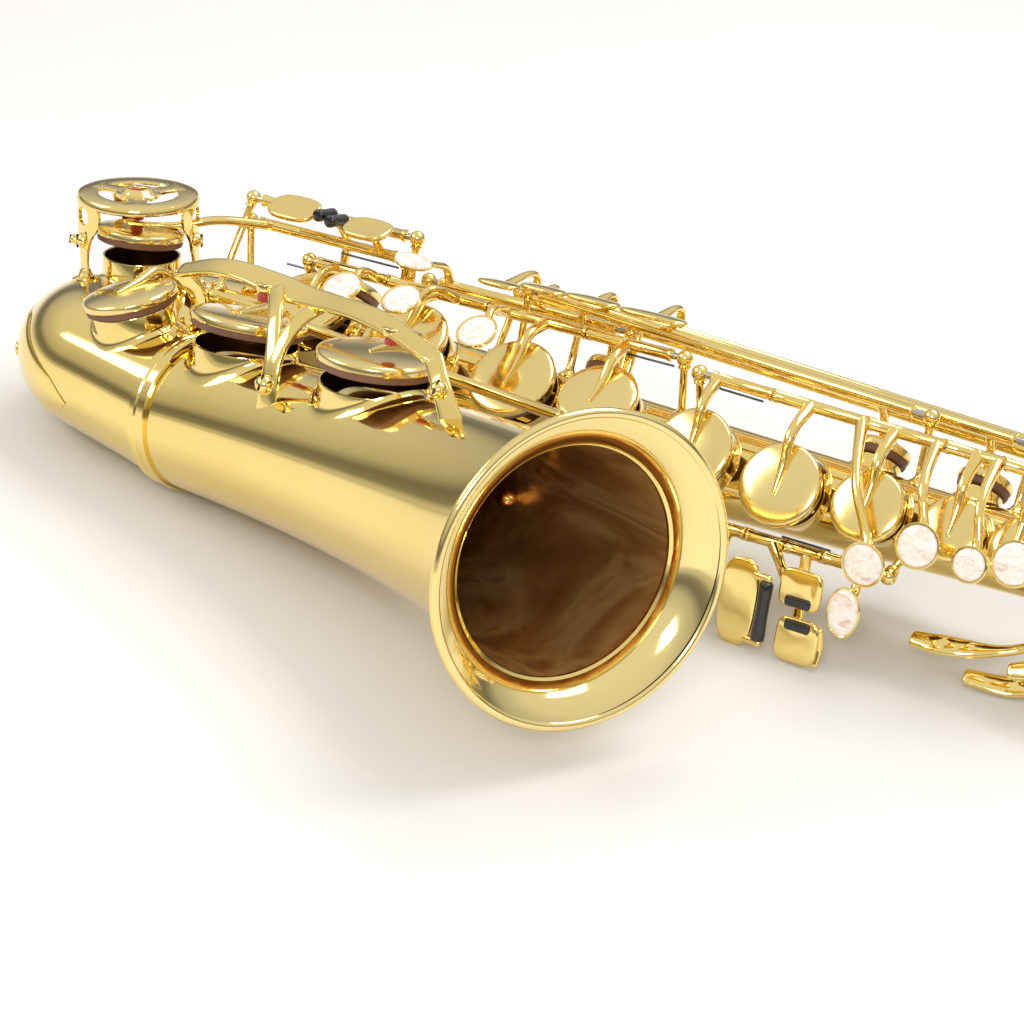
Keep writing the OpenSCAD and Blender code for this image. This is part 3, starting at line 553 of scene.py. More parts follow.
def put_tube(piece, line, z0, z1):
    """Hinge tube with a fine collar turned on each end; the steel rod shows at its mouths."""
    a, b = along(line, z0), along(line, z1)
    length = np.linalg.norm(b - a)
    profile = np.array([[ROD_R + 0.05, 0], [TUBE_R - 0.2, 0], [TUBE_R + 0.15, 0.25], [TUBE_R + 0.15, 1.5],
                        [TUBE_R - 0.15, 1.9], [TUBE_R - 0.15, length - 1.9], [TUBE_R + 0.15, length - 1.5],
                        [TUBE_R + 0.15, length - 0.25], [TUBE_R - 0.2, length], [ROD_R + 0.05, length]])
    piece.add(lathe(profile, a, b - a, 28), "gold")


def put_arm(piece, start, tip, out, wide=2.1, high=2.2, rise=3.0, past=0.0):
    """Key arm: leaves its tube, rises over the cup's edge and lies along its top to a slim point."""
    start, tip, out = np.asarray(start, float), np.asarray(tip, float), unit(out)
    reach = tip - start
    over = start + 0.45 * reach
    over = over + out * (max(0.0, float(np.dot(tip - over, out))) + rise)
    near = tip - 0.28 * reach
    near = near + out * (float(np.dot(tip - near, out)) + 0.9)
    end = tip + past * unit(reach - out * np.dot(reach, out))
    piece.add(sweep([start, over, near, end], [wide * 1.35, wide * 1.05, wide, wide * 0.75, wide * 0.3],
                    [high * 1.2, high, high, high * 0.8, high * 0.4], up=out, n=16, steps=34, power=2.6), "gold")


def put_pearl(piece, at, face, r):
    """Pearl touch: turned brass holder with a rolled lip, domed pearl set inside it."""
    holder = np.array([[0, -3.2], [r * 0.45, -3.2], [r * 0.8, -2.3], [r * 0.97, -1.2], [r, -0.4], [r, 0.0],
                       [r - 0.35, 0.35], [r - 0.8, 0.3], [r - 1.0, -0.3]])
    piece.add(lathe(holder, at, face, 48), "gold")
    t = np.linspace(0, 1, 8)
    shell = np.stack([(r - 0.95) * np.cos(t * np.pi / 2), -0.35 + 1.75 * np.sin(t * np.pi / 2) ** 0.8], 1)
    shell[-1, 0] = 0
    piece.add(lathe(shell, at, face, 48), "pearl")


def put_plate(piece, centre, face, half_long, half_wide, thick=2.4, power=4.0, length_dir=(0, 0, 1), dish=0.0,
              finish="gold"):
    """Finger plate: rounded-rectangle slab with soft edges, its top dished or crowned a little."""
    outline = superellipse(half_long, half_wide, power)
    t = np.linspace(0, np.pi / 2, 4)
    e = min(0.9, thick * 0.4)
    small = min(half_long, half_wide)
    shrink = 1 - e / small
    side = [(shrink + (1 - shrink) * math.sin(a), -thick / 2 + e - e * math.cos(a)) for a in t]
    top = [(shrink + (1 - shrink) * math.cos(a), thick / 2 - e + e * math.sin(a)) for a in t]
    crown = [(k * shrink, thick / 2 + dish * (1 - k ** 2)) for k in (0.8, 0.55, 0.3, 0.0)]
    rows = np.array([(0, -thick / 2)] + side + top + crown)
    piece.add(lathe(rows, centre, face, 56, outline, up=np.cross(face, length_dir)), finish)


def put_black(piece, at):
    """Short fixed black bar let into a finger plate."""
    at = np.array(at, float)
    piece.add(sweep([at - [0, 0, 4.6], at + [0, 0, 4.6]], 2.3, 1.2, up=(1, 0, 0), n=18, power=3), "black")


def put_leaf(piece, points, wide, high, up):
    """Spatula touch: a thin neck that widens into a rounded leaf."""
    piece.add(sweep(points, wide, high, up=up, n=20, steps=40, power=2.4), "gold")


def put_pillar(piece, foot, head, r=3.6):
    """Post: spun foot, waisted stem, ball head."""
    foot, head = np.asarray(foot, float), np.asarray(head, float)
    length = np.linalg.norm(head - foot)
    t = np.linspace(0, 1, 5)
    stem = [[0, -1.0], [4.3, -1.0], [4.4, 0.5], [4.0, 1.1], [3.0, 1.5], [2.2, 2.6]]
    stem += [[1.75, 3.6 + (length - 9) * k] for k in t]
    stem += [[2.0, length - 4.6], [2.7, length - 4.2], [2.7, length - 3.6], [2.0, length - 3.2]]
    q = np.linspace(-0.9, np.pi / 2, 8)
    stem += [[r * math.cos(a), length + r * math.sin(a)] for a in q]
    piece.add(lathe(stem, foot, head - foot, 28), "gold")


def put_slotted(piece, at, out, r):
    """Round-headed screw with a slot: two half domes either side of a narrow gap, the slot a bar in painted shade."""
    piece.add(lathe([[0, -r * 0.5], [r, -r * 0.5], [r, 0], [r * 0.86, r * 0.5], [r * 0.5, r * 0.82], [0, r * 0.95]],
                    at, out, 32), "gold")
    u, _ = basis(out)
    top = np.asarray(at, float) + unit(out) * r * 0.78
    piece.add(sweep([top - u * r * 0.78, top + u * r * 0.78], 0.42, 0.42, up=out, n=8, steps=4, power=6), "dark")


# ---------------------------------------------------------------- tone holes
def surface_reach(points, out, line, total):
    """How far along out each point must go to stand on the horn tube: the outermost crossing is
    found by halving, 26 times, between inside and outside."""
    centre, _, radius = line(np.linspace(0, total, 220))
    low = np.zeros(points.shape[:-1])
    high = np.full(points.shape[:-1], 60.0)
    for _ in range(26):
        mid = (low + high) / 2
        p = points + mid[..., None] * out
        gap = (np.linalg.norm(p[..., None, :] - centre, axis=-1) - radius).min(-1)
        low, high = np.where(gap < 0, mid, low), np.where(gap < 0, high, mid)
    return (low + high) / 2


def put_tone_hole(piece, seat, out, r, line, total, axis_gap, fillet=3.0):
    """Drawn tone hole: a fillet that leaves the tube tangentially, a thin chimney, a rounded lip,
    the inner wall and the floor, both in painted shade. axis_gap is the seat's distance from the tube's centre."""
    seat, out = np.asarray(seat, float), unit(out)
    u, v = basis(out)
    a = np.linspace(0, 2 * np.pi, 64, endpoint=False)
    ring = np.cos(a)[:, None] * u + np.sin(a)[:, None] * v
    base = seat - axis_gap * out
    q = np.linspace(0, np.pi / 2, 7)
    rho = r + 1.1 + fillet * (1 - np.sin(q))
    points = base + rho[:, None, None] * ring[None]
    reach = surface_reach(points, out, line, total)
    rows = points + (reach + fillet * (1 - np.cos(q))[:, None] - 0.12)[..., None] * out
    lip = [(r + 1.1, -0.5), (r + 0.95, -0.12), (r + 0.55, 0.0), (r + 0.15, -0.12), (r, -0.5)]
    rim = np.stack([seat + k * ring + h * out for k, h in lip])
    rows[-1] = np.where((reach[-1] + fillet < axis_gap - 0.6)[:, None], rows[-1], rim[0] - 0.05 * out)
    piece.add(np.concatenate([rows, rim]), "gold")
    depth = min(axis_gap * 0.42, 16)
    inner = np.stack([seat + r * ring - 0.5 * out, seat + r * ring - depth * out, seat + 0 * ring - (depth + 2) * out])
    piece.add(inner, "dark")


# ---------------------------------------------------------------- add-on settings
class HornSizes(bpy.types.PropertyGroup):
    """Sizes that a user would change."""
    rim_bead: bpy.props.FloatProperty(name="Rim bead", description="Radius of the bell's rolled rim",
                                      default=0.0019, min=0.001, max=0.003, unit="LENGTH", subtype="DISTANCE")
    lens: bpy.props.FloatProperty(name="Lens", description="Focal length of the camera", default=87.89,
                                  min=35, max=200, unit="CAMERA")
    floor_half: bpy.props.FloatProperty(name="Floor", description="Half width of the table", default=5.0,
                                        min=1, max=10, unit="LENGTH", subtype="DISTANCE")


class StageLook(bpy.types.PropertyGroup):
    """Colours and light of the stage."""
    floor: bpy.props.FloatVectorProperty(name="Table", description="Colour of the table", size=3, subtype="COLOR",
                                         default=(0.755, 0.75, 0.742), min=0, max=1)
    light: bpy.props.FloatProperty(name="Light", description="Strength of the soft lights", default=1.0,
                                   min=0.2, max=3)


class Step(bpy.types.Operator):
    """Shared settings of the building steps"""
    bl_options = {"REGISTER"}


class SAX_OT_body(Step):
    """Body tube with its tone holes, the bow, and their rings and guard"""
    bl_idname = "sax.body"
    bl_label = "Body and bow"

    def execute(self, context):
        body = Piece("body_tube_drawn")
        body.add(tube_rows(body_line, np.linspace(0, BODY_LEN, 60), 0, 96), "gold")
        # the bore inside the body tube, in painted shade
        body.add(tube_rows(body_line, [BODY_LEN, BODY_LEN, 0], -1.0, 96)[1:], "dark")
        for hole in HOLES.values():
            put_tone_hole(body, on_body(hole[0], hole[1], hole[3]), out_of(hole), hole[2], body_line, BODY_LEN,
                          hole[3], 2.6 if hole[2] < 0.62 * body_r(hole[1]) else 1.2)
        body.make("horn", "body_tube")

        bow = Piece("bow_drawn")
        bow.add(tube_rows(bow_line, np.linspace(0, BOW_LEN, 90), 0, 96), "gold")
        bow.make("horn", "bow")
        chimneys = Piece("bow_chimneys")
        for name in ("low_c", "low_csharp"):
            seat, out, r = SEATS[name]
            put_tone_hole(chimneys, seat, out, r, bow_line, BOW_LEN, 36 if name == "low_c" else 34)
        chimneys.make("horn", "bow_tone_holes")

        guard = Piece("bow_guard_sheet")
        turn = np.linspace(-52, 52, 41)
        reach = 0.245 * (1 - 0.6 * np.abs(turn) / 52)
        k = np.concatenate([np.linspace(-1, 1, 33), np.linspace(1, -1, 33)])
        lift = np.concatenate([0.95 - 0.6 * np.linspace(-1, 1, 33) ** 30, np.full(33, 0.05)])
        lift = lift * (1 - (turn[:, None] / 52) ** 60) + 0.05
        guard.add(off_bow(0.5 + reach[:, None] * k, np.radians(22 + turn)[:, None] + 0 * k, lift), "gold")
        knob = off_bow(np.array(0.585), np.array(0.08), np.array(-0.2))
        inward = off_bow(np.array(0.585), np.array(0.08), np.array(-9.0))
        guard.add(lathe(puck(3.2, -0.5, 2.0, 0.9, 0.4), knob, knob - inward, 28), "gold")
        guard.make("horn", "bow_guard")

        rings = Piece("body_ring_turned")
        band = [[0, 0], [1.3, 0], [1.7, 0.35], [1.7, 3.0], [1.35, 3.4], [1.0, 3.7], [1.0, 5.1], [1.35, 5.4],
                [1.7, 5.8], [1.7, 8.4], [1.3, 8.8], [0, 8.8]]
        rings.add(lathe([[BODY_LOW_R + a, b + 0.3] for a, b in band], n=96), "gold")
        rings.make("horn", "body_ring")
        bell_ring = Piece("bell_ring_turned")
        centre, ahead, _ = bow_line(np.array([BOW_LEN - 8]))
        bell_ring.add(lathe([[BELL_ROOT_R + a * 1.1, b * 1.12] for a, b in band], centre[0], ahead[0], 96), "gold")
        clamp = centre[0] + np.array([0, -(BELL_ROOT_R + 2.0), 0]) + 5 * ahead[0]
        bell_ring.add(sweep([clamp - [2.2, 0, 0], clamp + [2.2, 0, 0]], 1.5, 0.8, n=12, power=3), "gold")
        bell_ring.make("horn", "bell_ring")
        return {"FINISHED"}


def off_bow(share, turn, lift):
    """Points over the bow: share of its length, angle round it from the outside of the bend, height off its wall."""
    centre, ahead, r = bow_line(BOW_LEN * share)
    out = np.cos(turn)[..., None] * np.stack([ahead[..., 2], 0 * r, -ahead[..., 0]], -1)
    out = out + np.sin(turn)[..., None] * np.array([0, 1.0, 0])
    return centre + (r + lift)[..., None] * out


class SAX_OT_bell(Step):
    """Bell with its flared lip, rolled rim and amber inside, and its two chimneys"""
    bl_idname = "sax.bell"
    bl_label = "Bell"

    def execute(self, context):
        bead = context.scene.sax_sizes.rim_bead * 1000
        bell = Piece("bell_spun")
        s = BELL_LEN * (1 - (1 - np.linspace(0, 1, 150)) ** 2.1)
        outer = tube_rows(bell_line, s, 0, 160)
        centre, ahead, r = bell_line(np.array([BELL_LEN]))
        q = np.radians(np.linspace(-140, 150, 22))
        roll = [[r[0] - bead + bead * math.cos(a), -bead * 0.4 + bead * math.sin(a)] for a in q]
        across = np.array([ahead[0][2], 0, -ahead[0][0]])
        bell.add(outer, "gold")
        bell.add(lathe(roll, centre[0], ahead[0], 160, up=np.cross(ahead[0], across)), "rim")
        throat = 0.952
        lip_s = BELL_LEN * np.linspace(0.9975, throat, 40)
        bell.add(tube_rows(bell_line, lip_s, -1.0, 160), "rim")
        ring_s = BELL_LEN * np.array([throat, throat - 0.0025, throat - 0.006, throat - 0.009])
        step = tube_rows(bell_line, ring_s, 0, 160)
        centres = bell_line(ring_s)[0][:, None]
        radius = bell_line(ring_s)[2]
        edge = (radius + np.array([-1.0, -1.9, -1.9, -1.0])) / radius
        bell.add(centres + (step - centres) * edge[:, None, None], "gold")
        deep = BELL_LEN * np.linspace(throat - 0.009, 0, 90)
        bell.add(tube_rows(bell_line, deep, -1.0, 160), "amber")
        inside_bow = BOW_LEN * np.linspace(1, 0.45, 24)
        bell.add(tube_rows(bow_line, inside_bow, -1.0, 160), "amber")
        bell.make("horn", "bell")

        chimneys = Piece("bell_chimneys")
        for name, gap in (("low_b", 42), ("low_bb", 45)):
            seat, out, r = SEATS[name]
            put_tone_hole(chimneys, seat, out, r, bell_line, BELL_LEN * 0.9, gap, 3.6)
        chimneys.make("horn", "bell_tone_holes")
        return {"FINISHED"}


class SAX_OT_fittings(Step):
    """Brace, strap ring, thumb hook and rest, and every post"""
    bl_idname = "sax.fittings"
    bl_label = "Fittings and posts"

    def execute(self, context):
        z = 190.0
        axis, _, radius = bell_line(np.array([182.0]))
        a = np.array([body_r(z) + 0.2, 6, z])
        b = np.array([axis[0][0] - radius[0] - 1.5, 8, z])
        m = (a + b) / 2
        brace = Piece("bell_brace_ring")
        ring = [[13.5 + 1.7 * (1 - math.cos(t)), 2.0 * math.sin(t)] for t in np.linspace(0, 2 * np.pi, 17)]
        brace.add(lathe(ring[::-1], m + [0, 3, 0], (0, 1, 0), 64), "gold")
        brace.add(sweep([a, m - [15, 0, 0]], [3.6, 2.3, 2.3], n=20, steps=12), "gold")
        brace.add(sweep([m + [15, 0, 0], b + [3.5, 0, 0]], [2.3, 2.3, 3.6], n=20, steps=12), "gold")
        brace.make("horn", "bell_brace")

        posts = Piece("body_posts")
        for name in ("low", "top", "trill", "side_bb", "side_c", "side_e", "high", "table", "octave"):
            for head in LINES[name]:
                angle = math.degrees(math.atan2(head[1], head[0]))
                put_pillar(posts, on_body(angle, head[2], body_r(head[2]) - 0.4), head)
        for name in ("c", "eb"):
            head = LINES[name][1]
            angle = math.degrees(math.atan2(head[1], head[0]))
            put_pillar(posts, on_body(angle, head[2], body_r(head[2]) - 0.4), head)
        put_pillar(posts, (8, -23.6, -20), LINES["c"][0])
        put_pillar(posts, (12, -22, -35), LINES["eb"][0])
        for name in ("palm_d", "palm_eb", "palm_f"):
            for side in (-7, 7):
                put_pillar(posts, palm_pivot(name, side, body_r(HOLES[name][1] - 30) - 0.4), palm_pivot(name, side, 28))
        posts.make("horn", "body_pillars")
        bell_posts = Piece("bell_posts")
        put_pillar(bell_posts, (69.5, -16.9, -31.5), LINES["bell"][0])
        put_pillar(bell_posts, (108.5, -20, 200), LINES["bell"][1])
        bell_posts.make("horn", "bell_pillars")

        back = -body_r(250)
        loop = Piece("strap_ring_loop")
        ring = [[7.6 + 1.4 * math.cos(t), 1.7 * math.sin(t)] for t in np.linspace(0, 2 * np.pi, 17)]
        loop.add(lathe(ring, (back - 9.2, 0, 250), (0, -1, 0), 56), "gold")
        put_plate(loop, (back - 0.8, 0, 250), (-1, 0, 0), 9.5, 4.5, 2.0, 3.0)
        loop.make("horn", "strap_ring")
        back = -body_r(110)
        hook = Piece("thumb_hook_bent")
        put_plate(hook, (back - 0.9, 0, 110), (-1, 0, 0), 13, 7, 2.0, 3.4)
        hook.add(sweep([(back - 3, 0, 116), (back - 18, 0, 119), (back - 27, 0, 112), (back - 28, 0, 98)],
                       [4.5, 6.5, 7.0, 5.5, 3.0], [2.6, 1.6, 1.4, 1.2, 1.0], up=(0, 0, 1), n=20, steps=40), "gold")
        put_slotted(hook, (back - 2.2, 0, 102), (-1, 0, 0), 3)
        hook.make("horn", "thumb_hook")
        rest = Piece("thumb_rest_disc")
        rest.add(lathe(puck(8.5, 0, 4.6, 1.2, 0.6), (-body_r(300) + 0.5, 6, 300), (-1, 0, 0), 48), "black")
        rest.make("horn", "thumb_rest", slot="black_resin")
        return {"FINISHED"}


def palm_pivot(name, side, r):
    """A point on a palm key's pivot line, measured along the line from its middle."""
    hole = HOLES[name]
    a = math.radians(hole[0])
    return on_body(hole[0], hole[1] - 30, r) + side * np.array([-math.sin(a), math.cos(a), 0])


class SAX_OT_guards(Step):
    """Openwork low C guard and the one-piece low B and B flat guard, with screws and felts"""
    bl_idname = "sax.guards"
    bl_label = "Guards"

    def execute(self, context):
        c, up = np.array([38.0, -61, -68]), unit((0.156, -0.988, 0))
        u, v = unit(np.cross((0, 0, 1), up)), np.array([0, 0, 1.0])
        cage = Piece("low_c_guard_cage")

        def spot(angle, r, h=0.0):
            t = np.radians(np.asarray(angle, float))[..., None]
            return c - r * np.cos(t) * u + r * np.sin(t) * v + np.asarray(h, float)[..., None] * up

        def hoop(section, a, b, n):
            """A band bent round the guard's middle from angle a to b, closed at its ends."""
            section = np.asarray(section, float)
            t = np.degrees(np.linspace(a, b, n))
            rows = np.stack([spot(t, r, h) for r, h in section], 1)[:, ::-1]
            ends = rows[[0, -1]].mean(1, keepdims=True).repeat(len(section), 1)
            return np.concatenate([ends[:1], rows, ends[1:]])

        top = [(18.5, 0.7), (25.5, 0.9), (27.4, 0.4), (28.3, -0.8), (28.3, -2.6), (27.8, -3.2), (26.9, -2.6),
               (26.6, -1.4), (25.4, -0.9), (18.5, -0.9), (18.1, -0.1)]
        cage.add(hoop(top, 0, 2 * np.pi, 96)[1:-1], "gold")
        boss = [[0, -1.4], [9.4, -1.4], [10.4, -0.6], [10.4, 0.5], [9.6, 1.0], [8.2, 0.7], [7.4, 1.3], [6.4, 2.6],
                [5.4, 3.0], [4.4, 2.8], [4.0, 2.0], [0, 1.9]]
        cage.add(lathe(boss, c, up, 48), "gold")
        cage.add(lathe(puck(3.7, 1.6, 3.2, 0.4, 0.3), c, up, 32), "felt")
        for angle, start, end in ((20, 4.2, 8.0), (262, 4.0, 7.0), (140, 4.6, 8.0)):
            path = np.stack([spot(angle, r) for r in (7.0, 12.0, 16.5, 22.0)])
            cage.add(sweep(path, [start + 1.2, start, start * 0.9, end], 0.9, up=up, n=20, power=5), "gold")
        t = np.linspace(0, 2 * np.pi, 64, endpoint=False)
        legs = ((203, 25, 0.52, -79.5), (68, 25, 0.225, -120), (310, 17, 0.37, -65.5))
        for angle, half, share, turn in legs:
            # side sheet of the drum: wide under the ring, drawn in to a tab, with an oval opening
            reach = superellipse(1, 1, 5)(t)
            low = -13 + 12.4 * reach * np.cos(t)
            edge = half * (0.36 + 0.64 / (1 + np.exp(-(low + 15) / 2.2))) * reach * np.sin(t)
            rings = []
            for k, r in ((0, 28.2), (0.5, 28.3), (1, 28.2), (1, 26.7), (0.5, 26.7), (0, 26.7), (0, 28.2)):
                at = angle - (1 - k) * 0.42 * half * np.sin(t) - k * edge
                rings.append(spot(at, r, (1 - k) * (-7.6 + 4.2 * np.cos(t)) + k * low))
            cage.add(np.array(rings), "gold")
            foot = off_bow(np.array(share), np.array(math.radians(turn)), np.array(0.0))
            out = unit(foot - off_bow(np.array(share), np.array(math.radians(turn)), np.array(-9.0)))
            rim = spot(angle, 27.4, -23)
            d = unit(rim - spot(angle, 0, -23))
            end = foot + 3.0 * out
            cage.add(sweep([rim, 0.5 * (rim + end), end], [4.4, 3.6, 3.8], 0.9, up=d, n=18, power=4), "gold")
            cage.add(lathe([[0, -1.5], [6.2, -1.5], [6.4, 0.2], [5.6, 1.0], [3.6, 1.4], [3.0, 2.6], [2.6, 4.2], [0, 5.0]],
                           foot, out, 32), "gold")
            put_slotted(cage, spot(angle, 28.0, -19), d, 3.6)
        cage.make("horn", "low_c_guard")

        y0 = -50.0
        bar = [(90, y0 + 6, 4), (94, y0, 24), (106, y0 - 1, 80), (122, y0 - 3, 130), (137, y0 + 2, 168)]
        long_guard = Piece("low_b_guard_bar")
        long_guard.add(sweep(bar, [4.0, 4.8, 5.2, 6.2, 5.2, 4.6, 4.8, 4.2, 3.6], 1.6, up=(0.62, -0.78, 0), n=22, steps=70,
                             power=3.6), "gold")
        for shift in (-8, 8):
            strut = [(106, y0 - 0.5, 80 + shift * 1.6), (120, -42, 84 + shift * 0.7),
                     (129, -27, 87 + shift * 0.12), (131.5, -12, 88), (131.8, 0, 88.5)]
            long_guard.add(sweep(strut, [4.0, 3.2, 3.0, 4.4, 5.0], [1.5, 1.4, 1.4, 1.6, 1.2],
                                 up=(1, -0.6, 0), n=18, steps=48, power=3.2), "gold")
        long_guard.add(sweep([(137, y0 + 2, 168), (147, -38, 181), (150, -28, 189)], [4.0, 3.8, 4.8], [1.5, 1.5, 1.2],
                             up=(1, -0.6, 0), n=18, power=3.2), "gold")
        long_guard.add(sweep([(90, y0 + 6, 4), (84, -34, 9), (80, -16, 9)], [4.4, 4.2, 5.0], [1.5, 1.5, 1.2],
                             up=(1, -0.6, 0), n=18, power=3.2), "gold")

        def shield(t):
            """Foot plate outline: rounded, drawn out to a point down and to both sides."""
            return 9.5 * (1 + 0.32 * np.maximum(0, np.cos(t)) ** 6 + 0.16 * np.abs(np.sin(t)) ** 8)
        foot, out = np.array([131.8, 1, 88.5]), np.array([0.95, -0.3, -0.2])
        rows = [(0, -2.2), (1.0, -2.2), (1.0, -0.5), (0.95, 0.0), (0.8, 0.3), (0.0, 0.7)]
        long_guard.add(lathe(rows, foot, out, 64, shield, up=(0, 0, 1)), "gold")
        _, down = basis(out, (0, 0, 1))
        long_guard.add(sweep([foot + out * 0.8 - down * 4, foot + out * 1.4, foot + out * 0.8 + down * 4], [0.7, 1.5, 0.7],
                             1.2, up=out, n=12), "gold")
        long_guard.add(lathe(puck(7.2, -2.4, 0.3, 0.6, 0.4), (150, -28, 189), (0.4, -0.9, -0.3), 44), "gold")
        long_guard.make("horn", "low_b_guard")

        screws = Piece("guard_screw_heads")
        put_slotted(screws, (133.6, -17.5, 87), (0.93, -0.4, 0.1), 4.0)
        put_slotted(screws, (149.2, -39.5, 180), (0.8, -0.5, 0.1), 3.6)
        put_slotted(screws, (62.6, -38.1, -82.6), (0.7, 0, -0.7), 2.2)
        screws.make("horn", "guard_screws")
        felts = Piece("guard_felt_stops")
        for at, length in (((37, -60.5, -68), 11.5), ((104, -47, 60), 3.4), ((126.5, -48.4, 141), 2.6)):
            felts.add(lathe(puck(3.0, 0, length, 0.5), at, (0, 1, 0), 32), "felt")
            felts.add(lathe(puck(4.2, -4.4, -1.0, 0.5), at, (0, 1, 0), 32), "gold")
        felts.make("horn", "guard_felts", slot="red_felt")
        return {"FINISHED"}


STACK = {
    "d_key": ("low", "d", 18, 58, 11, (43, -38.5, 56), 52, 9.2), "e_key": ("low", "e", 58.6, 112, 10.5, (42, -40, 87), 96, 9.2),
    "f_key": ("low", "f", 112.6, 163, 9.6, (44, -35.5, 129), 122, 9.2), "fsharp_key": ("low", "fsharp", 163.6, 205, 10.5, None, 0, 0),
    "gsharp_key": ("top", "gsharp", 228, 257, 0, None, 0, 0), "g_key": ("top", "g", 257.6, 300, 8, (50.3, 11, 325), 297, 9.2),
    "a_key": ("top", "a", 300.6, 334, 8, (47, -1.5, 343.5), 330, 9.2), "bis_key": ("top", "bis", 334.6, 359, 8, (46, 0, 365), 356, 7.4),
    "b_key": ("top", "b", 359.6, 386, 8, (46, -5, 382), 382.5, 9.2), "c_key": ("top", "c", 386.6, 409, 8, None, 0, 0),
}


class SAX_OT_stacks(Step):
    """Upper and lower stack keys: tube, padded cup, pointed arm and pearl"""
    bl_idname = "sax.stacks"
    bl_label = "Stack keys"

    def execute(self, context):
        for node, (line, hole, z0, z1, turn, touch, from_z, pearl_r) in STACK.items():
            hole = HOLES[hole]
            piece = Piece(node + "_made", swung(line, -turn))
            put_tube(piece, line, z0, z1)
            out = out_of(hole)
            top = put_cup(piece, on_body(hole[0], hole[1], hole[3]), out, hole[2] + 3.2)
            put_arm(piece, along(line, hole[1]), top, out, past=hole[2] * 0.35)
            if touch:
                touch = np.array(touch, float)
                face = unit([touch[0], touch[1], 0])
                start = along(line, from_z)
                knee = start + 0.45 * (touch - start) + 5.5 * face
                piece.add(sweep([start, knee, touch - 5 * face - 0.15 * (touch - knee), touch - 2.6 * face],
                                [2.8, 2.0, 1.8, 2.6], [2.4, 1.8, 1.7, 1.6], up=face, n=16, steps=36, power=2.6), "gold")
                put_pearl(piece, touch, face, pearl_r)
            piece.make(node, node)
        return {"FINISHED"}


class SAX_OT_low_keys(Step):
    """Low C, C sharp, B and B flat keys, the E flat key and the trill key"""
    bl_idname = "sax.low_keys"
    bl_label = "Low keys"

    def execute(self, context):
        rows = {"low_c_key": ("c", "low_c", -26, 52, -20, -7.5), "low_csharp_key": ("bell", "low_csharp", -28, 2, -18, 0),
                "low_b_key": ("bell", "low_b", 3, 100, 49, -9), "low_bb_key": ("bell", "low_bb", 101, 198, 132, -5.5)}
        for node, (line, seat_name, z0, z1, arm_z, turn) in rows.items():
            seat, out, r = SEATS[seat_name]
            piece = Piece(node + "_made", swung(line, turn))
            put_tube(piece, line, z0, z1)
            top = put_cup(piece, seat, out, r + 3.6, 1.0)
            put_arm(piece, along(line, arm_z), top, out, 2.8, 2.0, 2.0, past=6)
            if node == "low_c_key":
                piece.add(sweep([along(line, 44), (6, -60, 44), (12, -63, 44)], 2.2, 1.8, n=14), "gold")
                put_plate(piece, (14, -64.0, 44.25), (0.5, -0.86, 0), 11.8, 8.4, 2.6, 3.0, dish=-0.5)
            piece.make(node, node)

        key = Piece("eb_key_made")
        put_tube(key, "eb", -26, 56)
        hole = HOLES["eb"]
        top = put_cup(key, on_body(hole[0], hole[1], hole[3]), out_of(hole), hole[2] + 3.2)
        put_arm(key, along("eb", 18), top, out_of(hole), past=4)
        key.add(sweep([along("eb", 4), (6, -66.5, 4), (12, -67, 4)], 2.2, 1.8, n=14), "gold")
        put_plate(key, (14, -67.4, 4), (0.5, -0.86, 0), 13, 8.4, 2.6, 3.0, dish=-0.5)
        key.make("eb_key", "eb_key")
        for node, at in (("eb_roller", (14, -68, 21.4)), ("c_roller", (14, -66.6, 28.1))):
            put_roller(node, at, (1, 0, 0), 13)

        key = Piece("trill_key_made")
        put_tube(key, "trill", 70.5, 165)
        hole = HOLES["trill"]
        top = put_cup(key, on_body(hole[0], hole[1], hole[3]), out_of(hole), hole[2] + 3.2)
        put_arm(key, along("trill", 160), top, out_of(hole), past=3)
        key.add(sweep([along("trill", 76), (-8, -53, 76), (4, -56, 76), (17, -58, 76)], [2.4, 1.9, 1.9, 3.5],
                      [2.2, 1.7, 1.4, 1.0], n=16), "gold")
        oval = superellipse(0.72, 1.1, 2.0)
        holder = [[0, -1.4], [6, -1.4], [8.6, -0.4], [9, 0.5], [8.6, 0.9], [8.2, 0.6]]
        face = np.array([0.3, -0.9, 0.1])
        at = np.array([20, -57.6, 76]) + 0.6 * unit(face)
        key.add(lathe(holder, at, face, 48, oval), "gold")
        key.add(lathe([[8.25, 0.5], [7.8, 1.2], [6, 1.8], [3, 2.1], [0, 2.2]], at, face, 48, oval), "pearl")
        key.make("trill_key", "trill_key")
        return {"FINISHED"}


def put_roller(node, at, d, length, r=2.9):
    """Black roller on a steel pin, its ends rounded and its middle slightly waisted."""
    body = {"eb_roller": "eb_roller", "c_roller": "c_roller", "bb_roller": "bb_roller"}[node]
    roller = Piece(node + "_turned")
    t = np.linspace(0, 1, 9)
    waist = [[r - 0.5 * math.sin(math.pi * k) ** 2 * 0.5, 0.9 + (length - 1.8) * k] for k in t]
    profile = [[0, 0], [r - 0.9, 0], [r - 0.25, 0.35]] + waist
    profile += [[r - 0.25, length - 0.35], [r - 0.9, length], [0, length]]
    roller.add(lathe(profile, np.asarray(at, float) - unit(d) * length / 2, d, 32), "black")
    roller.make(body, node, slot="black_resin")


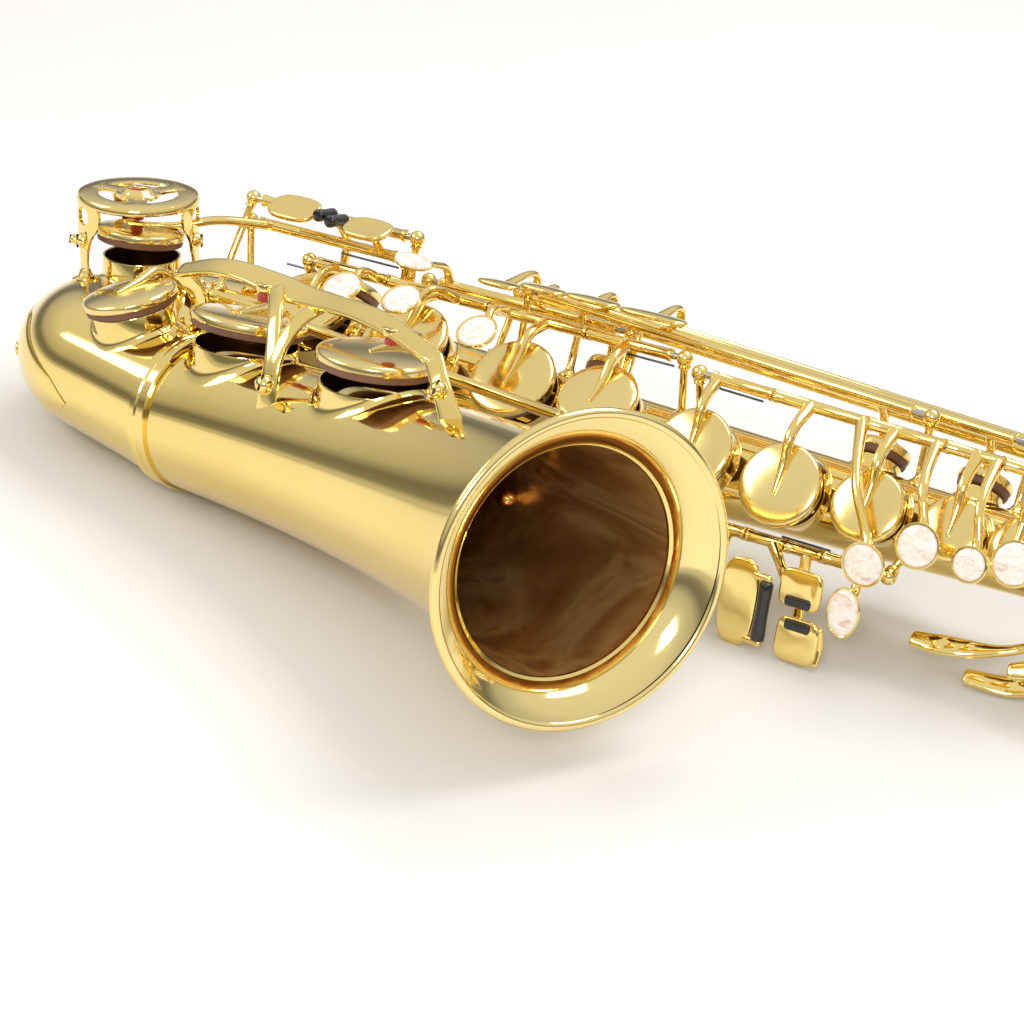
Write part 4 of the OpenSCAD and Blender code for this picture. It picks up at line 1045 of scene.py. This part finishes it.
class SAX_OT_side_keys(Step):
    """Side B flat, C and E keys and the high F sharp key"""
    bl_idname = "sax.side_keys"
    bl_label = "Side keys"

    def execute(self, context):
        rows = {"side_bb_key": ("side_bb", "side_bb", 130, 311, 138, 5.8, -58.5),
                "side_c_key": ("side_c", "side_c", 155, 353, 163, 8, -59.2),
                "side_e_key": ("side_e", "side_e", 181, 433, 193, 11, -59),
                "high_fsharp_key": ("high", "high", 112.5, 459, 115.5, 5, -56)}
        for node, (line, hole, z0, z1, leaf_z, leaf_len, leaf_y) in rows.items():
            hole = HOLES[hole]
            piece = Piece(node + "_made")
            put_tube(piece, line, z0, z1)
            top = put_cup(piece, on_body(hole[0], hole[1], hole[3]), out_of(hole), hole[2] + 3.2)
            put_arm(piece, along(line, hole[1]), top, out_of(hole), 1.8, 1.9, 1.5, past=2)
            foot = along(line, leaf_z)
            piece.add(sweep([foot, (foot[0] + 1, leaf_y + 0.4, leaf_z), (7, leaf_y + 0.3, leaf_z)], [2.4, 1.9, 3.2],
                            [1.9, 1.5, 1.0], n=16), "gold")
            put_plate(piece, (10, leaf_y - 0.2, leaf_z), (0, -1, 0), leaf_len + 5.2, 5.2, 2.2, 3.0, dish=0.5)
            piece.make(node, node)
        return {"FINISHED"}


class SAX_OT_palm_keys(Step):
    """Palm D, E flat and F keys with their leaves"""
    bl_idname = "sax.palm_keys"
    bl_label = "Palm keys"

    def execute(self, context):
        rows = {"palm_d": ((22, 36, 352), (22, 39, 338)), "palm_eb": ((16, 47, 380), (20, 48.5, 362)),
                "palm_f": ((30, 31, 398), (32, 37, 383))}
        for name, (leaf, tip) in rows.items():
            hole = HOLES[name]
            leaf, tip, out = np.array(leaf, float), np.array(tip, float), out_of(hole)
            a, b = palm_pivot(name, -3, 28), palm_pivot(name, 3, 28)
            middle = (a + b) / 2
            piece = Piece(name + "_key_made")
            wall = TUBE_R + 0.1
            profile = [[ROD_R + 0.05, 0], [TUBE_R, 0], [wall, 0.4], [wall, 5.6], [TUBE_R, 6], [ROD_R + 0.05, 6]]
            piece.add(lathe(profile, a, b - a, 28), "gold")
            top = put_cup(piece, on_body(hole[0], hole[1], hole[3]), out, hole[2] + 3.2)
            put_arm(piece, middle, top, out, 1.8, 1.9, 1.0, past=2)
            put_leaf(piece, [middle, middle + 7 * out - [0, 0, 10], leaf + 2 * out, tip],
                     [2.4, 2.0, 2.4, 4.0, 4.6, 3.4], [2.0, 1.8, 1.7, 1.6, 1.5, 1.1], (0.7, -0.65, 0.3))
            piece.make(name + "_key", name + "_key")
        return {"FINISHED"}


class SAX_OT_table(Step):
    """Left little-finger table, the octave lever and the neck's octave key"""
    bl_idname = "sax.table"
    bl_label = "Table and octave keys"

    def execute(self, context):
        levers = {"csharp_touch": (246, 262, 254, [(38, 24, 256), (45, 30, 262), (47, 34, 268)]),
                  "b_touch": (262.6, 280, 274, [(36, 20, 281), (44, 23, 288), (47, 26, 293)]),
                  "bb_touch": (280.6, 297, 290, [(36, 28, 293), (42, 37, 296), (46, 42, 298)]),
                  "gsharp_touch": (297.6, 320, 314, [(37, 24, 316), (43, 27, 318), (46, 29, 318.5)])}
        for node, (z0, z1, arm_z, path) in levers.items():
            piece = Piece(node + "_made")
            put_tube(piece, "table", z0, z1)
            piece.add(sweep([along("table", arm_z)] + path, [2.6, 2.2, 2.2, 2.6], [2.0, 1.7, 1.6, 1.2], up=(1, 0, 0), n=16,
                            steps=32, power=2.6), "gold")
            if node == "csharp_touch":
                put_plate(piece, (48, 37.5, 271.8), (1, 0, 0), 8.3, 18.4, 2.6, 3.2, dish=0.4)
                for y in (25, 52):
                    hook = [(48.4, y, 277), (49.2, y, 284)]
                    piece.add(sweep(hook, [1.6, 1.8], [1.1, 1.5], up=(1, 0, 0), n=12), "gold")
            elif node == "b_touch":
                put_plate(piece, (48, 25.4, 297.9), (1, 0, 0), 9.2, 8.0, 2.6, 4.4, dish=0.4)
                put_black(piece, (49.2, 30.6, 298))
            elif node == "bb_touch":
                put_plate(piece, (48, 46.4, 299.9), (1, 0, 0), 9.4, 9.3, 2.6, 4.4, dish=0.4)
                put_black(piece, (49.2, 40.2, 299.6))
                lip = [(47.4, 40, 309), (46.6, 46.5, 309.5), (47.4, 54, 309)]
                piece.add(sweep(lip, 1.5, 1.3, up=(1, 0, 0), n=14), "gold")
            else:
                oval = superellipse(1.34, 0.9, 2.0)
                face = np.array([1.0, 0, 0])
                at = np.array([47.6, 29.6, 317])
                holder = [[0, -2], [5, -2], [7.4, -1], [7.9, 0], [7.5, 0.5], [7.1, 0.2]]
                piece.add(lathe(holder, at, face, 48, oval), "gold")
                piece.add(lathe([[7.15, 0.2], [6.6, 0.9], [5, 1.4], [2.5, 1.6], [0, 1.7]], at, face, 48, oval), "pearl")
            piece.make(node, node)
        put_roller("bb_roller", (49.5, 38.5, 283.5), (0, 1, 0), 25)

        lever = Piece("octave_lever_made")
        put_tube(lever, "octave", 318, 362)
        lever.add(sweep([along("octave", 326), (-28, 8, 322), (-30, 2, 316)], 1.8, 1.7, up=(-1, 0, 0)), "gold")
        put_plate(lever, (-30.5, 0.5, 315), (-1, 0, 0), 3.6, 8, 3.0, 3.0, dish=0.3)
        lever.add(sweep([along("octave", 358), (-26, 12, 366), (-24, 6, 430), (-24, 2, BODY_LEN - 12)], 1.5, 1.4,
                        up=(-1, 0, 0), steps=48), "gold")
        lever.make("octave_lever", "octave_lever")

        s = NECK_RISE + NECK_TURN_R * math.radians(NECK_TURN) * 0.62
        centre, ahead, r = (x[0] for x in neck_line(np.array([s])))
        up = np.array([ahead[2], 0, -ahead[0]])
        key = Piece("neck_octave_key_made")
        key.add(lathe(puck(4.0, 1.4, 3.0, 0.5), centre + r * up, up, 32), "pad")
        key.add(lathe(puck(4.4, 2.4, 6.2, 0.8, 0.4), centre + r * up, up, 32), "gold")
        knee = centre + (r + 9) * up - 26 * ahead
        key.add(sweep([centre + (r + 5.6) * up, knee, (20, 0, BODY_LEN + 52), (22.5, 0, BODY_LEN + 32)], 2.6, 1.3, up=up,
                      steps=48), "gold")
        for side in (-1, 1):
            key.add(sweep([knee - ahead * 4, knee - up * 10 + [0, side * 14, 0] - ahead * 8,
                           (12, side * 17.5, BODY_LEN + 40), (0, side * 18, BODY_LEN + 30)], 1.4, 1.1, up=(0, side, 0),
                          steps=40), "gold")
        key.make("neck_octave_key", "neck_octave_key")
        return {"FINISHED"}


class SAX_OT_neck(Step):
    """Neck socket, neck, cork, mouthpiece, ligature and reed"""
    bl_idname = "sax.neck"
    bl_label = "Neck and mouthpiece"

    def execute(self, context):
        base = BODY_LEN - 5
        socket = Piece("neck_socket_turned")
        profile = [[12.4, 0], [15, 0], [15.3, 0.5], [15.3, 3.6], [14.6, 4.4], [14.1, 5.2], [14.1, 16.8], [14.8, 17.6],
                   [15.5, 18.4], [15.5, 25.4], [15.0, 26], [12.5, 26], [12.5, 20]]
        socket.add(lathe(profile, (0, 0, base), n=72), "gold")
        for side in (-1, 1):
            put_plate(socket, (-17.8, side * 2.8, base + 20), (0, side, 0), 5.2, 4.4, 4.2, 3.0)
        socket.make("horn", "neck_socket")
        screw = Piece("neck_screw_turned")
        at = np.array([-19.5, 0, BODY_LEN + 15])
        screw.add(lathe(puck(1.8, -9, 8, 0.3), at, (0, 1, 0), 24), "gold")
        knurl = lambda t: 1 + 0.035 * np.sign(np.sin(12 * t))
        screw.add(lathe(puck(5.5, -10.6, -7.2, 0.7, 0.5), at, (0, 1, 0), 96, knurl), "gold")
        screw.make("horn", "neck_screw")

        neck = Piece("neck_drawn")
        neck.add(tube_rows(neck_line, np.linspace(0, NECK_LEN, 90), 0, 64), "gold")
        # the bore inside the neck's end, in painted shade
        neck.add(tube_rows(neck_line, np.linspace(NECK_LEN, NECK_LEN - 30, 8), -1.0, 64), "dark")
        s = NECK_RISE + NECK_TURN_R * math.radians(NECK_TURN) * 0.62
        centre, ahead, r = (x[0] for x in neck_line(np.array([s])))
        up = np.array([ahead[2], 0, -ahead[0]])
        pip = [[0, 0], [4, 0], [3.2, 0.6], [2.4, 1.2], [2.4, 1.9], [0, 1.9]]
        neck.add(lathe(pip, centre + (r - 0.6) * up, up, 32), "gold")
        for off in (-26.0, 10.0):
            c, d, rr = (x[0] for x in neck_line(np.array([s + off])))
            v = np.array([d[2], 0, -d[0]])
            neck.add(lathe([[0, 0], [3, 0], [1.6, 1.5], [1.4, 6], [1.8, 7.5], [0, 8.4]], c + (rr - 0.5) * v
                           + [0, 4.2 if off < 0 else 0, 0], v, 24), "gold")
        neck.make("horn", "neck")
        collar = Piece("neck_tenon_turned")
        collar.add(lathe([[11.4, 1], [12.4, 1], [12.4, 22.6], [14.2, 22.9], [14.7, 23.6], [14.7, 27.6], [14.2, 28.6],
                          [12.9, 29.2], [12.1, 30.5]], (0, 0, BODY_LEN), n=72), "gold")
        collar.make("horn", "neck_tenon")

        start = NECK_LEN - 56
        centre, ahead, r = (x[0] for x in neck_line(np.array([start])))
        sleeve = Piece("neck_cork_sleeve")
        sleeve.add(lathe([[r + 0.1, 0], [r + 1.3, 0.2], [r + 1.5, 1.2], [8.15, 52.6], [7.9, 53.8], [7.1, 54]], centre,
                         ahead, 64), "cork")
        sleeve.make("horn", "neck_cork", slot="cork")

        p, d, _ = (x[0] for x in neck_line(np.array([NECK_LEN - 22])))
        down = basis(d, (0, 1, 0))[0]
        if down[2] > 0:
            down = -down
        beak = Piece("mouthpiece_turned")
        rows = 60
        h = np.concatenate([[0, 0], np.linspace(0.4, 87.6, rows), [88, 88]])
        tip = np.clip((h - 52) / 36, 0, 1)
        r = np.interp(h, [0, 0.01, 8, 8.4, 9.4, 52, 88], [11.0, 11.6, 11.6, 11.0, 10.6, 11.9, 8.0])
        r[0], r[-1] = 8.2, 0.0
        a = np.linspace(0, 2 * np.pi, 64, endpoint=False)
        side = np.cross(d, down)
        x = r[:, None] * np.cos(a)
        y = r[:, None] * np.sin(a) * (1 - 0.25 * tip[:, None])
        floor = np.where(h > 44, 5.2, 20.0)[:, None]
        roof = np.where(h > 60, -(10.6 - (h - 60) * math.tan(math.radians(24))), -20.0)[:, None]
        x = np.clip(x, roof, floor)
        beak.add(p + h[:, None, None] * d + x[..., None] * down + y[..., None] * side, "black")
        beak.make("horn", "mouthpiece", slot="black_ebonite", sharp=30)

        clamp = Piece("ligature_band")
        band = [[12.6, 46], [13.4, 45.8], [13.6, 46.4], [13.5, 49], [13.2, 50], [13.5, 51], [13.5, 61], [13.2, 62],
                [13.5, 63], [13.6, 67.6], [13.4, 68.2], [12.6, 68], [12.5, 57], [12.6, 46]]
        clamp.add(lathe(band, p, d, 72), "gold")
        for z in (51, 63):
            at = p + z * d + 15.0 * down
            clamp.add(lathe(puck(1.6, -9, 9, 0.3), at, side, 20), "gold")
            clamp.add(lathe(puck(4.0, 9, 12, 0.6, 0.3), at, side, 72, knurl), "gold")
            for end in (-4.5, 4.5):
                clamp.add(lathe(puck(2.6, -1.6, 1.6, 0.4), at + end * side, side, 24), "gold")
        clamp.make("horn", "ligature")

        blade = Piece("reed_cut")
        h = np.concatenate([[46], np.linspace(46, 87, 40), [87]])
        thick = np.interp(h, [46, 62, 87], [2.9, 2.8, 0.25])
        wide = np.full_like(h, 7.4)
        thick[0] = thick[-1] = 0.0
        wide[0] = wide[-1] = 0.0
        t = np.linspace(0, 2 * np.pi, 32, endpoint=False)
        cx = np.sign(np.cos(t)) * np.abs(np.cos(t)) ** 0.5
        cy = np.sign(np.sin(t)) * np.abs(np.sin(t)) ** 0.25
        x = 5.4 + thick[:, None] * (0.5 + 0.5 * cx)
        blade.add(p + h[:, None, None] * d + x[..., None] * down + (wide[:, None] * cy)[..., None] * side, "cane")
        blade.make("horn", "reed", slot="cane", sharp=30)
        return {"FINISHED"}


class SAX_OT_finishes(Step):
    """Gives the steel rods and springs of the frame their finishes"""
    bl_idname = "sax.finishes"
    bl_label = "Rods and springs"

    def execute(self, context):
        for node, finish in (("pivot_rods", "steel"), ("needle_springs", "blued")):
            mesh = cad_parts[node].data
            mesh.materials.clear()
            mesh.materials.append(finish_of(finish))
        return {"FINISHED"}


# Where the camera stands and how it is turned, in the horn's frame: its right, down and forward directions.
CAMERA_AT = (933.208, -246.611, 677.238)
CAMERA_AXES = np.array([[-0.53149994, -0.14285114, 0.83492596], [0.1481076, 0.95482042, 0.25764724],
                        [-0.83400956, 0.26059838, -0.48632966]])


class SAX_OT_stage(Step):
    """Table, soft lights and camera"""
    bl_idname = "sax.stage"
    bl_label = "Stage"

    def execute(self, context):
        sizes, look = context.scene.sax_sizes, context.scene.sax_look
        half = sizes.floor_half
        mesh = bpy.data.meshes.new("table_top")
        mesh.from_pydata([(-half, -half, 0), (half, -half, 0), (half, half, 0), (-half, half, 0)], [], [(0, 1, 2, 3)])
        n = Nodes("white_table")
        base = tuple(look.floor)
        n.link(n.ramp(n.noise(3, 3), (0.3, tuple(0.985 * c for c in base)), (0.7, base)), "Base Color")
        n.link(n.spread(n.noise(8, 2), 0.55, 0.7), "Roughness")
        n.set(Specular_IOR_Level=0.2)
        mesh.materials.append(n.material)
        table = bpy.data.objects.new("table_top", mesh)
        context.collection.objects.link(table)

        world = bpy.data.worlds.new("studio")
        context.scene.world = world
        world.use_nodes = True
        tree = world.node_tree
        back = tree.nodes["Background"]
        coords = tree.nodes.new("ShaderNodeTexCoord")
        split = tree.nodes.new("ShaderNodeSeparateXYZ")
        tree.links.new(coords.outputs["Generated"], split.inputs["Vector"])
        ramp = tree.nodes.new("ShaderNodeValToRGB")
        stops = ((0.0, 0.75), (0.05, 0.30), (0.14, 0.22), (0.24, 0.60), (0.5, 0.92), (1.0, 1.0))
        while len(ramp.color_ramp.elements) < len(stops):
            ramp.color_ramp.elements.new(0.5)
        for element, (at, v) in zip(ramp.color_ramp.elements, stops):
            element.position = at
            element.color = (v, v * 0.985, v * 0.96, 1)
        tree.links.new(split.outputs["Z"], ramp.inputs["Fac"])
        tree.links.new(ramp.outputs["Color"], back.inputs["Color"])
        back.inputs["Strength"].default_value = 0.85 * look.light

        for name, at, size, power in (("key_light", (0.3, 0.9, 1.9), (1.6, 1.0), 26.0),
                                      ("fill_light", (-1.5, -0.9, 1.3), (1.2, 0.8), 10.0),
                                      ("front_light", (0.55, -1.35, 0.95), (0.5, 0.35), 9.0)):
            light = bpy.data.lights.new(name, "AREA")
            light.shape = "RECTANGLE"
            light.size, light.size_y = size
            light.energy = power * look.light
            light.color = (1.0, 0.985, 0.96)
            lamp = bpy.data.objects.new(name, light)
            context.collection.objects.link(lamp)
            where = np.array(at)
            z = unit(where - np.array([0, 0, 0.05]))
            x, y = basis(z)
            lamp.matrix_world = placed(np.stack([x, y, z], 1), where)

        camera = bpy.data.cameras.new("camera")
        camera.lens = sizes.lens
        camera.clip_start, camera.clip_end = 0.05, 40
        holder = bpy.data.objects.new("camera", camera)
        context.collection.objects.link(holder)
        right, down, ahead = CAMERA_AXES @ LAY.T
        turn = np.stack([right, -down, -ahead], 1)
        holder.matrix_world = placed(turn, laid(CAMERA_AT))
        context.scene.camera = holder
        context.scene.view_settings.view_transform = "Standard"
        return {"FINISHED"}


STEPS = (SAX_OT_body, SAX_OT_bell, SAX_OT_fittings, SAX_OT_guards, SAX_OT_stacks, SAX_OT_low_keys, SAX_OT_side_keys,
         SAX_OT_palm_keys, SAX_OT_table, SAX_OT_neck, SAX_OT_finishes, SAX_OT_stage)


class SAX_PT_panel(bpy.types.Panel):
    """Lists the building steps and their sizes"""
    bl_idname = "SAX_PT_panel"
    bl_label = "Saxophone"
    bl_space_type = "VIEW_3D"
    bl_region_type = "UI"
    bl_category = "Saxophone"

    def draw(self, context):
        layout = self.layout
        for group, names in ((context.scene.sax_sizes, ("rim_bead", "lens", "floor_half")),
                             (context.scene.sax_look, ("floor", "light"))):
            for name in names:
                layout.prop(group, name)
        for step in STEPS:
            layout.operator(step.bl_idname)


CLASSES = (HornSizes, StageLook, *STEPS, SAX_PT_panel)


def register():
    for cls in CLASSES:
        bpy.utils.register_class(cls)
    bpy.types.Scene.sax_sizes = bpy.props.PointerProperty(type=HornSizes)
    bpy.types.Scene.sax_look = bpy.props.PointerProperty(type=StageLook)


def unregister():
    del bpy.types.Scene.sax_look
    del bpy.types.Scene.sax_sizes
    for cls in reversed(CLASSES):
        bpy.utils.unregister_class(cls)


def main():
    """Registers the add-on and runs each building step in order."""
    register()
    for step in STEPS:
        group, name = step.bl_idname.split(".")
        getattr(getattr(bpy.ops, group), name)()


if __name__ == "__main__":
    main()
